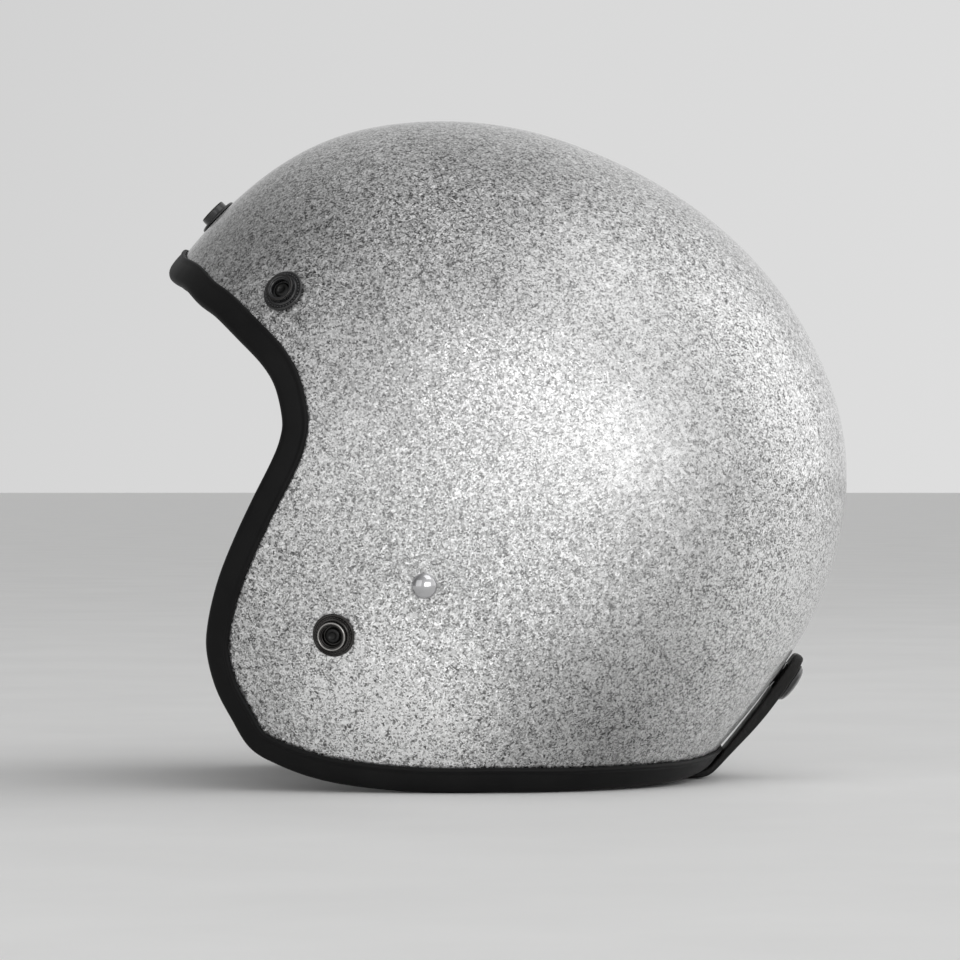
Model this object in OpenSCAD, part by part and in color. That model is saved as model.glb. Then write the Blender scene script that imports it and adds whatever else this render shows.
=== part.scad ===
// Open face motorcycle helmet with D-ring chin strap, snap studs and a rear goggle strap keeper.
// +Z up, the wearer faces -Y, the wearer's left is +X. Millimetres.
// Origin: middle of the bounding box, on the surface that the helmet stands on.

/* [Shell] */
// Half width of the shell form at its widest
form_w = 112; // [109:1:114]
// Wall thickness of the fibreglass shell
shell_t = 3.5; // [2.5:0.5:4]
// Sections round the rim of the shell
rim_steps = 84; // [72:12:96]

/* [Edge trim] */
// Width of the rubber trim seen on the outside of the shell
trim_w = 8; // [7:0.5:9]
// Thickness of the outer lip of the trim
trim_t = 1.9; // [1.5:0.1:2]

/* [Liner] */
// Depth of the inner face of the impact liner below the shell's outer face
eps_in = 28; // [24:1:29]
// Thickness of the comfort liner
comfort_t = 6; // [4:1:7]
// Depth of the inner face of the cheek pads below the shell's outer face
cheek_in = 38; // [34:1:40]

/* [Snap studs] */
// Diameter of the snap stud head that a visor or shield clips on to
stud_d = 10.6; // [10:0.2:11.2]
// Diameter of the stud flange
flange_d = 15.8; // [15:0.2:16.4]
// Height of the stud above the shell
stud_h = 3.9; // [3.4:0.1:4.2]

/* [Chin strap] */
// Width of the webbing
web_w = 22; // [20:1:22]
// Thickness of the webbing
web_t = 1.8; // [1.4:0.2:2]
// Diameter of the strap rivet shank
rivet_d = 5; // [4:0.5:6]
// Diameter of the strap rivet dome
dome_d = 9.6; // [9:0.2:11]
// Angle of the stored strap back from hanging straight down
stow = 48; // [47:1:52]

/* [Goggle strap keeper] */
// Width of the keeper strap
keep_w = 22; // [18:1:26]
// Diameter of the keeper's snap cap
cap_d = 15.8; // [15:0.2:16]

/* [Hidden] */

// ---------- the form of the shell ----------
// Centre from which the form is drawn
C = [0, 9, 118];
// Radius of the side profile every 10 degrees: front, crown (90), back (180), under (270)
RAD = [164.5, 162, 159.5, 157, 154.3, 151.9, 148, 141.8, 135.6, 129.8, 124.6, 120.9,
       118.6, 117.5, 117.1, 117.5, 118.5, 119.8, 120.6, 120.7, 120.8, 121.2, 122.2, 125,
       130.5, 139.5, 152, 165, 175, 181, 183, 182, 179, 175, 171, 167.5];
// Fullness across the width, and fore and aft
FULL = 2.25;
function lobe(phi) = 2.45 - 0.25*sin(phi);

function cr(a, b, c, d, f) = 0.5*((2*b) + (c - a)*f + (2*a - 5*b + 4*c - d)*f*f + (3*b - a - 3*c + d)*f*f*f);
function prof_r(phi) = let(p = (phi + 720)/10, i = floor(p), f = p - i, n = len(RAD))
    cr(RAD[(i - 1) % n], RAD[i % n], RAD[(i + 1) % n], RAD[(i + 2) % n], f);
function form(p) = let(q = p - C, phi = atan2(q.z, -q.y))
    pow(abs(q.x)/form_w, FULL) + pow(norm([q.y, q.z])/prof_r(phi), lobe(phi)) - 1;
function reach(dx, dr, B, t, n) = n == 0 ? t :
    let(u = pow(t*dx, FULL), v = pow(t*dr, B)) reach(dx, dr, B, t - (u + v - 1)*t/(FULL*u + B*v), n - 1);
// Point of the form in direction d from the centre
function hit(d) = let(u = d/norm(d), phi = atan2(u.z, -u.y), dx = abs(u.x)/form_w, dr = norm([u.y, u.z])/prof_r(phi))
    C + u*reach(dx, dr, lobe(phi), 1/sqrt(dx*dx + dr*dr), 7);
function on_form(p) = hit(p - C);
// Half width of the form at a point of the side view
function side_x(y, z) = let(phi = atan2(z - C.z, C.y - y), q = norm([y - C.y, z - C.z])/prof_r(phi))
    form_w*pow(max(0, 1 - pow(q, lobe(phi))), 1/FULL);
function out_n(p, e = 0.3) = let(g = [form(p + [e, 0, 0]) - form(p - [e, 0, 0]),
    form(p + [0, e, 0]) - form(p - [0, e, 0]), form(p + [0, 0, e]) - form(p - [0, 0, e])]) g/norm(g);

// Closed smooth curve through control points
function curve(P, n) = [for (k = [0:n - 1]) let(t = k*len(P)/n, i = floor(t), f = t - i, m = len(P))
    cr(P[(i + m - 1) % m], P[i % m], P[(i + 1) % m], P[(i + 2) % m], f)];
// The same half curve on both sides of the middle plane
function both(P) = concat(P, [for (i = [len(P) - 2:-1:1]) [-P[i].x, P[i].y, P[i].z]]);

// Rim of the shell, from the middle of the brow by the left cheek to the nape
RIM = [[0, -128.5, 196.4], [27, -126, 191.6], [47, -119.5, 187.5], [61, -113, 181], [71, -106.5, 176],
       [82, -97.5, 167], [90, -89, 158], [94.5, -83.5, 149], [97.5, -80.5, 137], [98.5, -81.5, 129],
       [98, -85, 120], [95.5, -92, 106], [92, -98.5, 92], [87.5, -104.5, 77], [82.5, -108, 62],
       [79.5, -108.3, 52], [78, -105.5, 39], [77.5, -99.5, 28], [77, -93, 18], [80, -82.5, 12.5],
       [84.5, -67.5, 7.4], [89.5, -45.5, 4.3], [92, -20, 3.2], [91.5, 0, 3], [86, 20, 3.2],
       [76, 38, 3.8], [60, 54, 4.6], [38, 67, 5.6], [18, 74, 6.2], [0, 76, 6.4]];
// Rim of the impact liner
EPS_RIM = [[0, -121, 209.5], [28, -118, 204.5], [50, -111, 197], [66, -101, 188], [80, -89, 176],
       [90, -77, 163], [97, -70, 150], [103, -66, 134], [106, -60, 116], [108, -45, 103], [109, -20, 98],
       [108, 8, 95], [106, 32, 88], [98, 55, 76], [84, 75, 62], [62, 90, 49], [32, 97, 42], [0, 99, 40]];
// Rim of the comfort liner
LINER_RIM = [[0, -117, 213], [28, -114, 208], [50, -107, 200.5], [66, -97, 191], [80, -85, 179],
       [90, -73, 166], [97, -66, 152], [103, -61, 136], [106, -55, 119], [108, -42, 107], [109, -20, 102],
       [108, 8, 99], [106, 31, 92], [98, 53, 80], [84, 73, 66], [62, 87, 53], [32, 94, 46], [0, 96, 44]];

// Directions, rings and layers
BACK = [0, cos(25), sin(25)];
function slerp(a, b, t) = let(w = acos(a*b)) (a*sin(w*(1 - t)) + b*sin(w*t))/sin(w);
function sphere_dir(p) = let(d = p - C) d/norm(d);
// Ring positions: two narrow rings by the rim, then even ones
function ring_t(n, near) = concat([for (k = [0:len(near) - 1]) near[k]],
    [for (k = [1:n]) near[len(near) - 1] + (1 - near[len(near) - 1])*k/(n + 1)]);

// Closed shell between two depths below the form; loop is the rim, pole the direction of the middle.
// dout and din give the depths as [at the rim, inside], reached over the share tr of the way in.
module layer(loop, pole, ts, dout, din, tr = 0.15, lim = 999) {
    nj = len(loop);
    ni = len(ts);
    dirs = [for (p = loop) sphere_dir(p)];
    base = concat([for (t = ts) for (d = dirs) let(p = hit(slerp(d, pole, t))) [p, out_n(p), t]],
                  [let(p = hit(pole)) [p, out_n(p), 1]]);
    function ease(d, t) = t >= tr ? d[1] : d[0] + (d[1] - d[0])*sqrt(1 - pow(1 - t/tr, 2));
    function clampx(p, off) = let(m = strap_x(norm([p.y - PIV.y, p.z - PIV.z])) - off)
        lim > 500 ? p : [sign(p.x)*min(abs(p.x), m), p.y, p.z];
    outer = [for (b = base) clampx(b[0] - b[1]*ease(dout, b[2]), lim)];
    inner = [for (k = [0:len(base) - 1]) let(b = base[k], q = b[0] - b[1]*ease(din, b[2])) clampx(q, lim + 4)];
    m = ni*nj + 1;
    pts = concat(outer, inner);
    faces = [for (i = [0:ni - 1]) for (j = [0:nj - 1]) let(a = i*nj + j, b = i*nj + (j + 1) % nj)
        each (i < ni - 1
            ? [[a, b + nj, b], [a, a + nj, b + nj], [m + a, m + b, m + b + nj], [m + a, m + b + nj, m + a + nj]]
            : [[a, m - 1, b], [m + b, 2*m - 1, m + a]])];
    edge = [for (j = [0:nj - 1]) let(b = (j + 1) % nj) each [[j, m + b, m + j], [j, b, m + b]]];
    polyhedron(points = pts, faces = concat(faces, edge), convexity = 10);
}

// Solid swept through sections of equal point count; ring = true joins the last section to the first
module swept(T, ring = false, turn = false) {
    S = turn ? [for (s = T) [for (k = [len(s) - 1:-1:0]) s[k]]] : T;
    n = len(S[0]);
    m = len(S);
    mid = [for (s = [S[0], S[m - 1]]) [for (c = [0:2]) [for (p = s) p[c]]*[for (p = s) 1/n]]];
    pts = concat([for (s = S) each s], ring ? [] : mid);
    side = [for (i = [0:ring ? m - 1 : m - 2]) for (j = [0:n - 1])
        let(a = i*n + j, b = i*n + (j + 1) % n, c = ((i + 1) % m)*n + j, d = ((i + 1) % m)*n + (j + 1) % n)
        each [[a, b, d], [a, d, c]]];
    ends = ring ? [] : [for (j = [0:n - 1]) let(k = (j + 1) % n)
        each [[m*n, k, j], [m*n + 1, (m - 1)*n + j, (m - 1)*n + k]]];
    polyhedron(points = pts, faces = concat(side, ends), convexity = 10);
}

// Point beside the curve L at station k: b along the surface towards the shell's middle, h above it
function frame_b(L, k, ring = true) = let(n = len(L), a = L[ring ? (k + n - 1) % n : max(0, k - 1)],
    c = L[ring ? (k + 1) % n : min(n - 1, k + 1)], t = (c - a)/norm(c - a), v = cross(out_n(L[k]), t)) v/norm(v);
function beside(p, v, b, h) = let(q = on_form(p + v*b)) q + out_n(q)*h;

rim = [for (p = curve(both(RIM), rim_steps)) on_form(p)];

// ---------- places of the hardware ----------
BROW_MID = on_form([0, -111.8, 215.5]);
BROW_SIDE = let(y = -83, z = 183.5) [side_x(y, z), y, z];
LOW_SIDE = let(y = -64, z = 58) [side_x(y, z), y, z];
KEEP = on_form([0, 103, 40]);
KEEP_RIV = on_form([0, 88.6, 21.4]);
// Axis on which both strap hangers turn
PIV = [0, -31, 76];
// Faces of the strap anchorage along X: dome seat, spacer, hanger, rivet tail
X_SEAT = form_w - 2.9;
X_SP = [99.6, 104.4];
X_HG = [97.9, 99.4];
X_TL = [96.1, 97.8];

// Puts children on the form at p with +Z along the outward normal
module stand(p) {
    n = out_n(p);
    translate(p) rotate([0, acos(n.z), atan2(n.y, n.x)]) children();
}
module mirrored() { children(); mirror([1, 0, 0]) children(); }

// ---------- shell ----------
module outer_shell() color("silver") resize([0, 0, 0]) difference() {
    layer(rim, BACK, ring_t(11, [0, 0.018, 0.04]), [0, 0], [shell_t, shell_t]);
    for (p = [BROW_MID, BROW_SIDE, LOW_SIDE, [-BROW_SIDE.x, BROW_SIDE.y, BROW_SIDE.z], [-LOW_SIDE.x, LOW_SIDE.y, LOW_SIDE.z]])
        stand(p) { translate([0, 0, -9]) cylinder(d = 4, h = 12, $fn = 16); translate([0, 0, -9]) cylinder(d = 10, h = 9 - shell_t - 0.05, $fn = 16); }
    stand(KEEP) { translate([0, 0, -9]) cylinder(d = 4, h = 12, $fn = 16); translate([0, 0, -9]) cylinder(d = 10, h = 9 - shell_t - 0.05, $fn = 16); }
    stand(KEEP_RIV) { translate([0, 0, -9]) cylinder(d = 4, h = 12, $fn = 16); translate([0, 0, -0.9]) cylinder(d = 9, h = 5, $fn = 16); }
    mirrored() translate(PIV) rotate([0, 90, 0]) {
        cylinder(d = rivet_d + 0.4, h = 130, $fn = 16);
        translate([0, 0, X_SEAT - 0.1]) cylinder(d = dome_d + 0.6, h = 9, $fn = 20);
        translate([0, 0, 90]) cylinder(d = 12.6, h = X_SP[1] + 0.1 - 90, $fn = 20);
    }
}

module edge_trim() color([0.1, 0.1, 0.1]) {
    w = trim_w;
    t = trim_t;
    d = -shell_t - 0.5;
    P = [[-0.5, 0.35], [w - 0.2, 0.35], [w, 0.8], [w - 0.7, t - 0.1], [w - 1.6, t], [w - 2.4, t - 0.3], [0.6, t], [-1.5, t - 0.6],
         [-2.4, -0.4], [-2.5, -2.6], [-1.7, d - 0.9], [0.2, d - 1.7], [w - 1.6, d - 1.6], [w - 0.9, d - 0.9], [w - 1.2, d], [-0.5, d]];
    S = [for (k = [0:len(rim) - 1]) let(v = frame_b(rim, k)) [for (q = P) beside(rim[k], v, q[0], q[1])]];
    swept(S, true, true);
}

// ---------- liners and pads ----------
module impact_liner() color([0.2, 0.2, 0.2])
    layer([for (p = curve(both(EPS_RIM), 60)) on_form(p)], BACK, ring_t(8, [0, 0.04]),
        [shell_t + 1.1, shell_t + 1.1], [eps_in - 6, eps_in], 0.04);

module crown_liner() color([0.12, 0.12, 0.13])
    layer([for (p = curve(both(LINER_RIM), 48)) on_form(p)], BACK, ring_t(7, [0, 0.05]),
        [eps_in + 1.1, eps_in + 1.1], [eps_in + 3, eps_in + 1.1 + comfort_t], 0.05);

module brow_band() color([0.1, 0.1, 0.1]) {
    L = [for (k = [-15:15]) rim[(k + rim_steps) % rim_steps]];
    P = [[8.6, -shell_t - 0.9], [9.8, -shell_t - 1], [10.4, -9], [10.4, -20], [9.8, -26], [8.4, -26.5], [7.2, -20], [7.6, -9]];
    swept([for (k = [1:len(L) - 2]) let(v = frame_b(L, k)) [for (q = P) beside(L[k], v, q[0], q[1])]]);
}

// Rim of the left cheek pad in the side view
CHEEK = [[-64, 104], [-78, 101], [-82, 88], [-89, 72], [-93, 56], [-90, 40], [-80, 27], [-62, 19],
         [-38, 15.5], [-14, 16], [4, 24], [14, 42], [15, 62], [8, 80], [-6, 89], [-30, 92], [-48, 98]];
module cheek_pad_left() color([0.13, 0.13, 0.14])
    layer([for (p = curve(CHEEK, 28)) [side_x(p[0], p[1]), p[0], p[1]]], sphere_dir([108, -36, 58]), ring_t(4, [0, 0.2]),
        [15, 13.6], [26, cheek_in], 0.5, 2.9);
module cheek_pad_right() color([0.13, 0.13, 0.14]) mirror([1, 0, 0]) cheek_pad_left();

// Middle line of the neck roll on the form, from the left to the right
NECK = [[76, 56, 21.5], [68, 65, 21.7], [56, 73, 22], [40, 81, 23], [20, 86, 24], [0, 88, 24.5]];
module neck_roll() color([0.12, 0.12, 0.12]) {
    full = concat(NECK, [for (i = [4:-1:0]) [-NECK[i].x, NECK[i].y, NECK[i].z]]);
    L = [for (k = [0:26]) let(t = k*10/26, i = min(9, floor(t)), f = t - i)
        on_form(cr(full[max(0, i - 1)], full[i], full[i + 1], full[min(10, i + 2)], f))];
    swept([for (k = [0:26]) let(v = frame_b(L, k, false), s = sqrt(sin(180*(k + 1.2)/28.4)), e = 0.35 + 0.65*s)
        [for (a = [0:30:330]) beside(L[k], v, 10.5*e*cos(a), -19 + 8.2*e*sin(a))]], false, true);
}

// ---------- snap studs ----------
module stud() rotate_extrude($fn = 48) polygon([[2, 0.05], [flange_d/2 - 0.4, 0.05], [flange_d/2, 0.45], [flange_d/2 - 0.2, 0.9],
    [flange_d/2 - 0.9, 1.2], [stud_d/2, 1.2], [stud_d/2, stud_h - 0.4], [stud_d/2 - 0.4, stud_h],
    [3.9, stud_h], [3.5, stud_h - 0.3], [3.5, 1.2], [2, 1.2]]);
module post(top = 1.2, r = 2.9) rotate_extrude($fn = 32) polygon([[0, -shell_t - 0.65], [4.2, -shell_t - 0.65], [4.5, -shell_t - 0.4],
    [4.5, -shell_t - 0.1], [1.8, -shell_t - 0.1], [1.8, top + 0.05], [r, top + 0.05], [r, top + 0.5], [r - 0.6, top + 0.9], [1.5, top + 0.9],
    [1.1, top + 0.4], [0, top + 0.4]]);
module brow_snap_studs() color([0.07, 0.07, 0.07]) { stand(BROW_MID) stud(); mirrored() stand(BROW_SIDE) stud(); }
module side_snap_studs() color([0.12, 0.12, 0.12]) mirrored() stand(LOW_SIDE) stud();
module brow_snap_posts() color([0.15, 0.15, 0.15]) { stand(BROW_MID) post(); mirrored() stand(BROW_SIDE) post(); }
module side_snap_posts() color([0.3, 0.3, 0.3]) mirrored() stand(LOW_SIDE) post();

// ---------- strap anchorage ----------
module strap_rivets() color([0.8, 0.8, 0.8]) mirrored() translate(PIV) rotate([0, 90, 0])
    rotate_extrude($fn = 48) {
        polygon([[0, X_TL[0]], [3.6, X_TL[0]], [4.4, X_TL[0] + 0.6], [4.4, X_TL[1]], [rivet_d/2, X_TL[1]], [rivet_d/2, X_SEAT],
            [dome_d/2, X_SEAT], [dome_d/2, X_SEAT + 0.5], [dome_d/2 - 0.5, X_SEAT + 1.7], [dome_d/2 - 1.6, X_SEAT + 2.8],
            [dome_d/2 - 3.1, X_SEAT + 3.5], [0, X_SEAT + 3.7]]);
    }
module ring(r0, r1, x0, x1) translate([x0, 0, 0]) rotate([0, 90, 0]) difference() {
    cylinder(r = r1, h = x1 - x0, $fn = 48);
    translate([0, 0, -1]) cylinder(r = r0, h = x1 - x0 + 2, $fn = 48);
}
module rivet_spacers() color([0.6, 0.6, 0.6]) mirrored() translate(PIV) ring(rivet_d/2 + 0.1, 6, X_SP[0], X_SP[1]);

// ---------- goggle strap keeper ----------
// Point of the side profile at angle phi, h above the shell
function prof(phi, h) = let(p = on_form([0, C.y - 100*cos(phi), C.z + 100*sin(phi)]), n = out_n(p)) [p.y + n.y*h, p.z + n.z*h];
// Fold line under the nape
FOLD = [78.1, 4];
module yz(w) translate([-w/2, 0, 0]) rotate([90, 0, 90]) linear_extrude(w) children();
module keeper_strap() color([0.09, 0.09, 0.09]) difference() {
    yz(keep_w)
        polygon(concat([for (q = [[237.2, 2.4], [234, 2.3], [230, 2.1], [226, 1.8], [222, 1.5], [219, 1.45], [216, 1.5], [214.6, 1.9]]) prof(q[0], q[1])],
            [for (q = [[214.1, 3], [214.3, 4.6], [215.2, 5.6], [217, 5.9], [220, 5.9], [223, 6.1], [227, 6], [231, 5.5], [235, 4.9], [237.6, 4.8]]) prof(q[0], q[1])],
            [for (a = [-42:-30:-222]) FOLD + 1.3*[cos(a), sin(a)]]));
    stand(KEEP) cylinder(r = 6.1, h = 12, $fn = 48);
}
module keeper_root() color([0.09, 0.09, 0.09]) difference() {
    yz(keep_w) difference() {
        polygon(concat([[79, 2.2], [76.4, 0.8], [73.6, 0.2], [70, 0], [66.6, 0.7], [64.6, 2.6], [64.4, 5.4]],
            [for (q = [[240.5, -8.8], [238.5, -8.8], [236, -8.8], [233, -7.3], [228, -6.8], [228, -4.2], [233, -4.6], [235.5, -6.2], [238.5, -6.2]]) prof(q[0], q[1])],
            [[68, 7.4], [67.2, 5.2], [68, 3.8], [70, 3.1], [72.6, 3.1], [74.6, 3.4], [76.6, 3.9]]));
        translate(FOLD) circle(r = 1.5, $fn = 32);
    }
    stand(KEEP_RIV) translate([0, 0, -14]) cylinder(r = 2.1, h = 20, $fn = 32);
}
module keeper_rivet() color([0.3, 0.3, 0.3]) stand(KEEP_RIV) rotate_extrude($fn = 32)
    polygon([[0, -8.6], [3.6, -8.6], [4.2, -8.2], [4.2, -7.5], [1.9, -7.5], [1.9, -0.85], [4.2, -0.85], [4.2, -0.2], [3.2, 0.3], [0, 0.4]]);
module keeper_stud() color([0.1, 0.1, 0.1]) stand(KEEP) rotate_extrude($fn = 48)
    polygon([[2, 0.05], [5.7, 0.05], [6, 0.4], [5.6, 0.75], [2.9, 0.8], [2.7, 1.4], [3, 2.4], [3, 3], [2.6, 3.4], [2.35, 3.4], [2.35, 0.7], [2, 0.7]]);
module keeper_stud_post() color([0.3, 0.3, 0.3]) stand(KEEP) post(0.7, 2.3);
module keeper_snap_socket() color([0.1, 0.1, 0.1]) stand(KEEP) rotate_extrude($fn = 48)
    polygon([[3.4, 1.1], [5.6, 1.1], [6, 1.5], [6, 5.9], [0, 5.9], [0, 3.9], [3.4, 3.9]]);
module keeper_snap_cap() color([0.06, 0.06, 0.06]) stand(KEEP) rotate_extrude($fn = 48)
    polygon([[0, 5.95], [cap_d/2 - 0.6, 5.95], [cap_d/2, 6.3], [cap_d/2, 6.7], [cap_d/2 - 0.8, 7.5], [cap_d/2 - 2.6, 8.4], [cap_d/2 - 4.9, 8.9], [0, 9.1]]);

// ---------- chin strap, drawn hanging straight down from its axis and turned back to the stowed place ----------
// Middle line of the webbing: distance from the middle plane at each distance below the axis
DROP = [[0, 98.6], [22, 98.2], [30, 96.4], [45, 91], [52, 88], [54, 82.2], [58, 79], [62, 77.4], [66, 69.4], [72, 64], [80, 57], [88, 51], [93.5, 32], [96, 0]];
function strap_x(r, i = 1) = r >= 88 ? 51 : r <= DROP[i][0] || i == len(DROP) - 1
    ? DROP[i - 1][1] + (DROP[i][1] - DROP[i - 1][1])*(r - DROP[i - 1][0])/(DROP[i][0] - DROP[i - 1][0]) : strap_x(r, i + 1);
module hung() translate(PIV) rotate([stow, 0, 0]) children();
// Flat band of width w whose outline is drawn in x and depth below the axis
module band(w = web_w) translate([0, w/2, 0]) rotate([90, 0, 0]) linear_extrude(w) children();
// Outline of a strip of thickness t along the points P, moved sideways by s
function side_n(P, k) = let(a = P[max(0, k - 1)], c = P[min(len(P) - 1, k + 1)], d = (c - a)/norm(c - a)) [-d.y, d.x];
function strip(P, t) = concat([for (k = [0:len(P) - 1]) P[k] + side_n(P, k)*t/2],
    [for (k = [len(P) - 1:-1:0]) P[k] - side_n(P, k)*t/2]);
function smooth(P, n) = [for (k = [0:n]) let(t = k*(len(P) - 1)/n, i = min(len(P) - 2, floor(t)), f = t - i)
    cr(P[max(0, i - 1)], P[i], P[i + 1], P[min(len(P) - 1, i + 2)], f)];

module strap_hangers() color([0.55, 0.55, 0.55]) hung() mirrored() translate([X_HG[0], 0, 0]) rotate([90, 0, 90])
    linear_extrude(X_HG[1] - X_HG[0]) difference() {
        union() {
            circle(r = 7.5, $fn = 48);
            polygon([[-7.4, -1], [-14.3, -14.6], [-14.3, -22.4], [-12.8, -23.9], [12.8, -23.9], [14.3, -22.4], [14.3, -14.6], [7.4, -1]]);
        }
        circle(r = rivet_d/2 + 0.1, $fn = 48);
        translate([-11.6, -20.8]) square([23.2, 4.6]);
    }
// Webbing closed round the hanger's lower bar
module bar_loop() translate([98.65, -22.3]) difference() {
    polygon([[-1.3, -2.4], [-2.6, -1.6], [-2.9, 0], [-2.9, 2.2], [-1.6, 3.4], [1.2, 3.4], [2.1, 2.4], [2.1, 0], [1.1, -3.2], [-0.9, -9], [-4.2, -8]]);
    translate([-0.95, -1.75]) square([1.9, 3.5]);
}
// Rings: place of their bars, and the angle between the strap there and the vertical
RG = [82.6, -62.6];
RA = 43;
function rg(s, u) = RG + s*[-cos(RA + 4), -sin(RA + 4)] + u*[sin(RA + 4), -cos(RA + 4)];
// Long strap in the front view, from the right hanger under the chin, through both rings and back over them
LONG = concat([[-97.2, -27.5], [-95.1, -34.5], [-91.2, -45], [-85, -60], [-78, -70], [-66.5, -80], [-51, -88], [-32, -93.5], [0, -96],
        [26, -94.4], [42, -90], [54, -83.6]], [for (q = [[26, -5], [20, -5.3], [14, -5.2], [10.6, -3.8], [9, -1], [9, 1.4],
        [10.6, 4], [14, 5.2], [20, 5.4], [25, 5.4]]) rg(q[0], q[1])]);
LINE = smooth(LONG, 100);
module chin_strap_long() color([0.1, 0.1, 0.1]) hung() band() {
    mirror([1, 0]) bar_loop();
    polygon(strip(LINE, web_t));
}
module chin_strap_short() color([0.1, 0.1, 0.1]) hung() band() {
    bar_loop();
    polygon(strip(smooth([[97.2, -27.5], [95.3, -34], [92, -44], rg(-12, 0.4), rg(-6, 0)], 12), web_t*1.7));
    difference() {
        polygon([for (q = [[-3.4, -5.2], [-1.6, -8.4], [1.6, -8.4], [3.4, -5.2], [5.2, -2.6], [5.2, 2.6], [4.2, 3.9], [-4.2, 3.9],
            [-5.2, 2.6], [-5.2, -2.6]]) rg(q[1], q[0])]);
        polygon([for (q = [[-3.4, -2.1], [3.4, -2.1], [3.4, 2.1], [-3.4, 2.1]]) rg(q[1], q[0])]);
    }
}
// Flat D ring with its straight bar in the short strap's loop
module d_ring(u0, u1) hung() translate([RG.x, 0, RG.y]) rotate([0, 90 + RA, 0]) translate([0, 0, u0]) linear_extrude(u1 - u0)
    difference() {
        union() { translate([-1.6, -15]) square([7.9, 30]); translate([6.3, 0]) intersection() { circle(r = 15, $fn = 64); translate([0, -16]) square([16, 32]); } }
        union() { translate([1.6, -12]) square([4.7, 24]); translate([6.3, 0]) intersection() { circle(r = 12, $fn = 64); translate([-0.1, -16]) square([16, 32]); } }
    }
module d_ring_inner() color([0.6, 0.6, 0.6]) d_ring(-3.1, -0.2);
module d_ring_outer() color([0.6, 0.6, 0.6]) d_ring(0.2, 3.1);

// Padded sleeve on the chin side of the long strap, and its thickness at x
function puff(x) = 1.6 + 4*sqrt(1 - pow(abs(x + 8)/35, 4));
module chin_pad() color([0.13, 0.13, 0.14]) {
    I = [for (k = [0:len(LINE) - 1]) if (LINE[k].x > -42 && LINE[k].x < 26 && LINE[k].y < -88) k];
    hung() band(30) polygon(concat([for (k = I) LINE[k] + side_n(LINE, k)*(web_t/2 + 0.15)],
        [for (j = [len(I) - 1:-1:0]) let(k = I[j]) LINE[k] + side_n(LINE, k)*(web_t/2 + 0.15 + puff(LINE[k].x))]));
}
// Snap on the strap's outer side that holds the tail
SNAP_X = -14;
SNAP_Z = -95.6 - web_t/2;
module strap_stud() color([0.6, 0.6, 0.6]) hung() translate([SNAP_X, 0, SNAP_Z]) rotate([180, 0, 0]) rotate_extrude($fn = 48)
    polygon([[0, 0.25], [5, 0.25], [5, 0.8], [2.6, 0.9], [2.4, 1.6], [2.6, 2.4], [2.6, 3.2], [2.2, 3.6], [0, 3.6]]);
TAIL = concat([rg(26.4, 5.4)], [[62, -89.6], [52, -93.2], [40, -96.4], [26, -98.6], [10, -99.5], [-4, -99.8], [-14, -99.7], [-22, -99.3], [-28, -98.8]]);
module strap_tail() color([0.1, 0.1, 0.1]) hung() difference() {
    band() { polygon(strip(smooth(TAIL, 27), web_t)); }
    translate([SNAP_X, 0, -90]) mirror([0, 0, 1]) cylinder(r = 5.2, h = 20, $fn = 48);
}
module tail_snap_socket() color([0.6, 0.6, 0.6]) hung() translate([SNAP_X, 0, SNAP_Z]) rotate([180, 0, 0]) rotate_extrude($fn = 48)
    polygon([[2.9, 1.6], [4.8, 1.6], [5.1, 1.9], [5.1, 4.3], [0, 4.3], [0, 3.9], [2.9, 3.9]]);
module tail_snap_cap() color([0.1, 0.1, 0.1]) hung() translate([SNAP_X, 0, SNAP_Z]) rotate([180, 0, 0]) rotate_extrude($fn = 48)
    polygon([[0, 4.35], [6, 4.35], [6.3, 4.6], [6.3, 4.9], [5.4, 5.5], [3, 5.9], [0, 6]]);

outer_shell();
edge_trim();
impact_liner();
crown_liner();
brow_band();
cheek_pad_left();
cheek_pad_right();
neck_roll();
brow_snap_studs();
side_snap_studs();
brow_snap_posts();
side_snap_posts();
strap_rivets();
rivet_spacers();
keeper_stud();
keeper_stud_post();
keeper_root();
keeper_rivet();
keeper_strap();
keeper_snap_socket();
keeper_snap_cap();
strap_hangers();
chin_strap_short();
chin_strap_long();
d_ring_inner();
d_ring_outer();
chin_pad();
strap_stud();
strap_tail();
tail_snap_socket();
tail_snap_cap();
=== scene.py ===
import bpy, bmesh, math
import numpy as np
from mathutils import Vector, Matrix
from mathutils.bvhtree import BVHTree


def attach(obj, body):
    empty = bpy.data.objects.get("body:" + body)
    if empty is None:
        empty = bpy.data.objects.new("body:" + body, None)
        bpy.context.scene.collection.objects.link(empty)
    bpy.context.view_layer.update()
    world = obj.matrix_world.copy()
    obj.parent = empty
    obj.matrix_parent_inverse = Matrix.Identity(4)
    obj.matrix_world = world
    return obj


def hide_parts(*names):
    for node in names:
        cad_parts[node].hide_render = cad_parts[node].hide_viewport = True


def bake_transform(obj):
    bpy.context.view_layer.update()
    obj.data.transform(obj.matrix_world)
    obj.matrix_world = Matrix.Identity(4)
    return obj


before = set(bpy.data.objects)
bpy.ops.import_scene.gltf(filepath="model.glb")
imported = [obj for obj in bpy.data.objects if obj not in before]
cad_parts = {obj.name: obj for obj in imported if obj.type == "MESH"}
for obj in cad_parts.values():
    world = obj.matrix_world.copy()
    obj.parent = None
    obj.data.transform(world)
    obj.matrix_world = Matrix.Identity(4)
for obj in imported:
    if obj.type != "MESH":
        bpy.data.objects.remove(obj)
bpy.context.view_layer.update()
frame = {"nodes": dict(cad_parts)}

rng = np.random.default_rng(7)
COL = bpy.context.scene.collection

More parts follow.
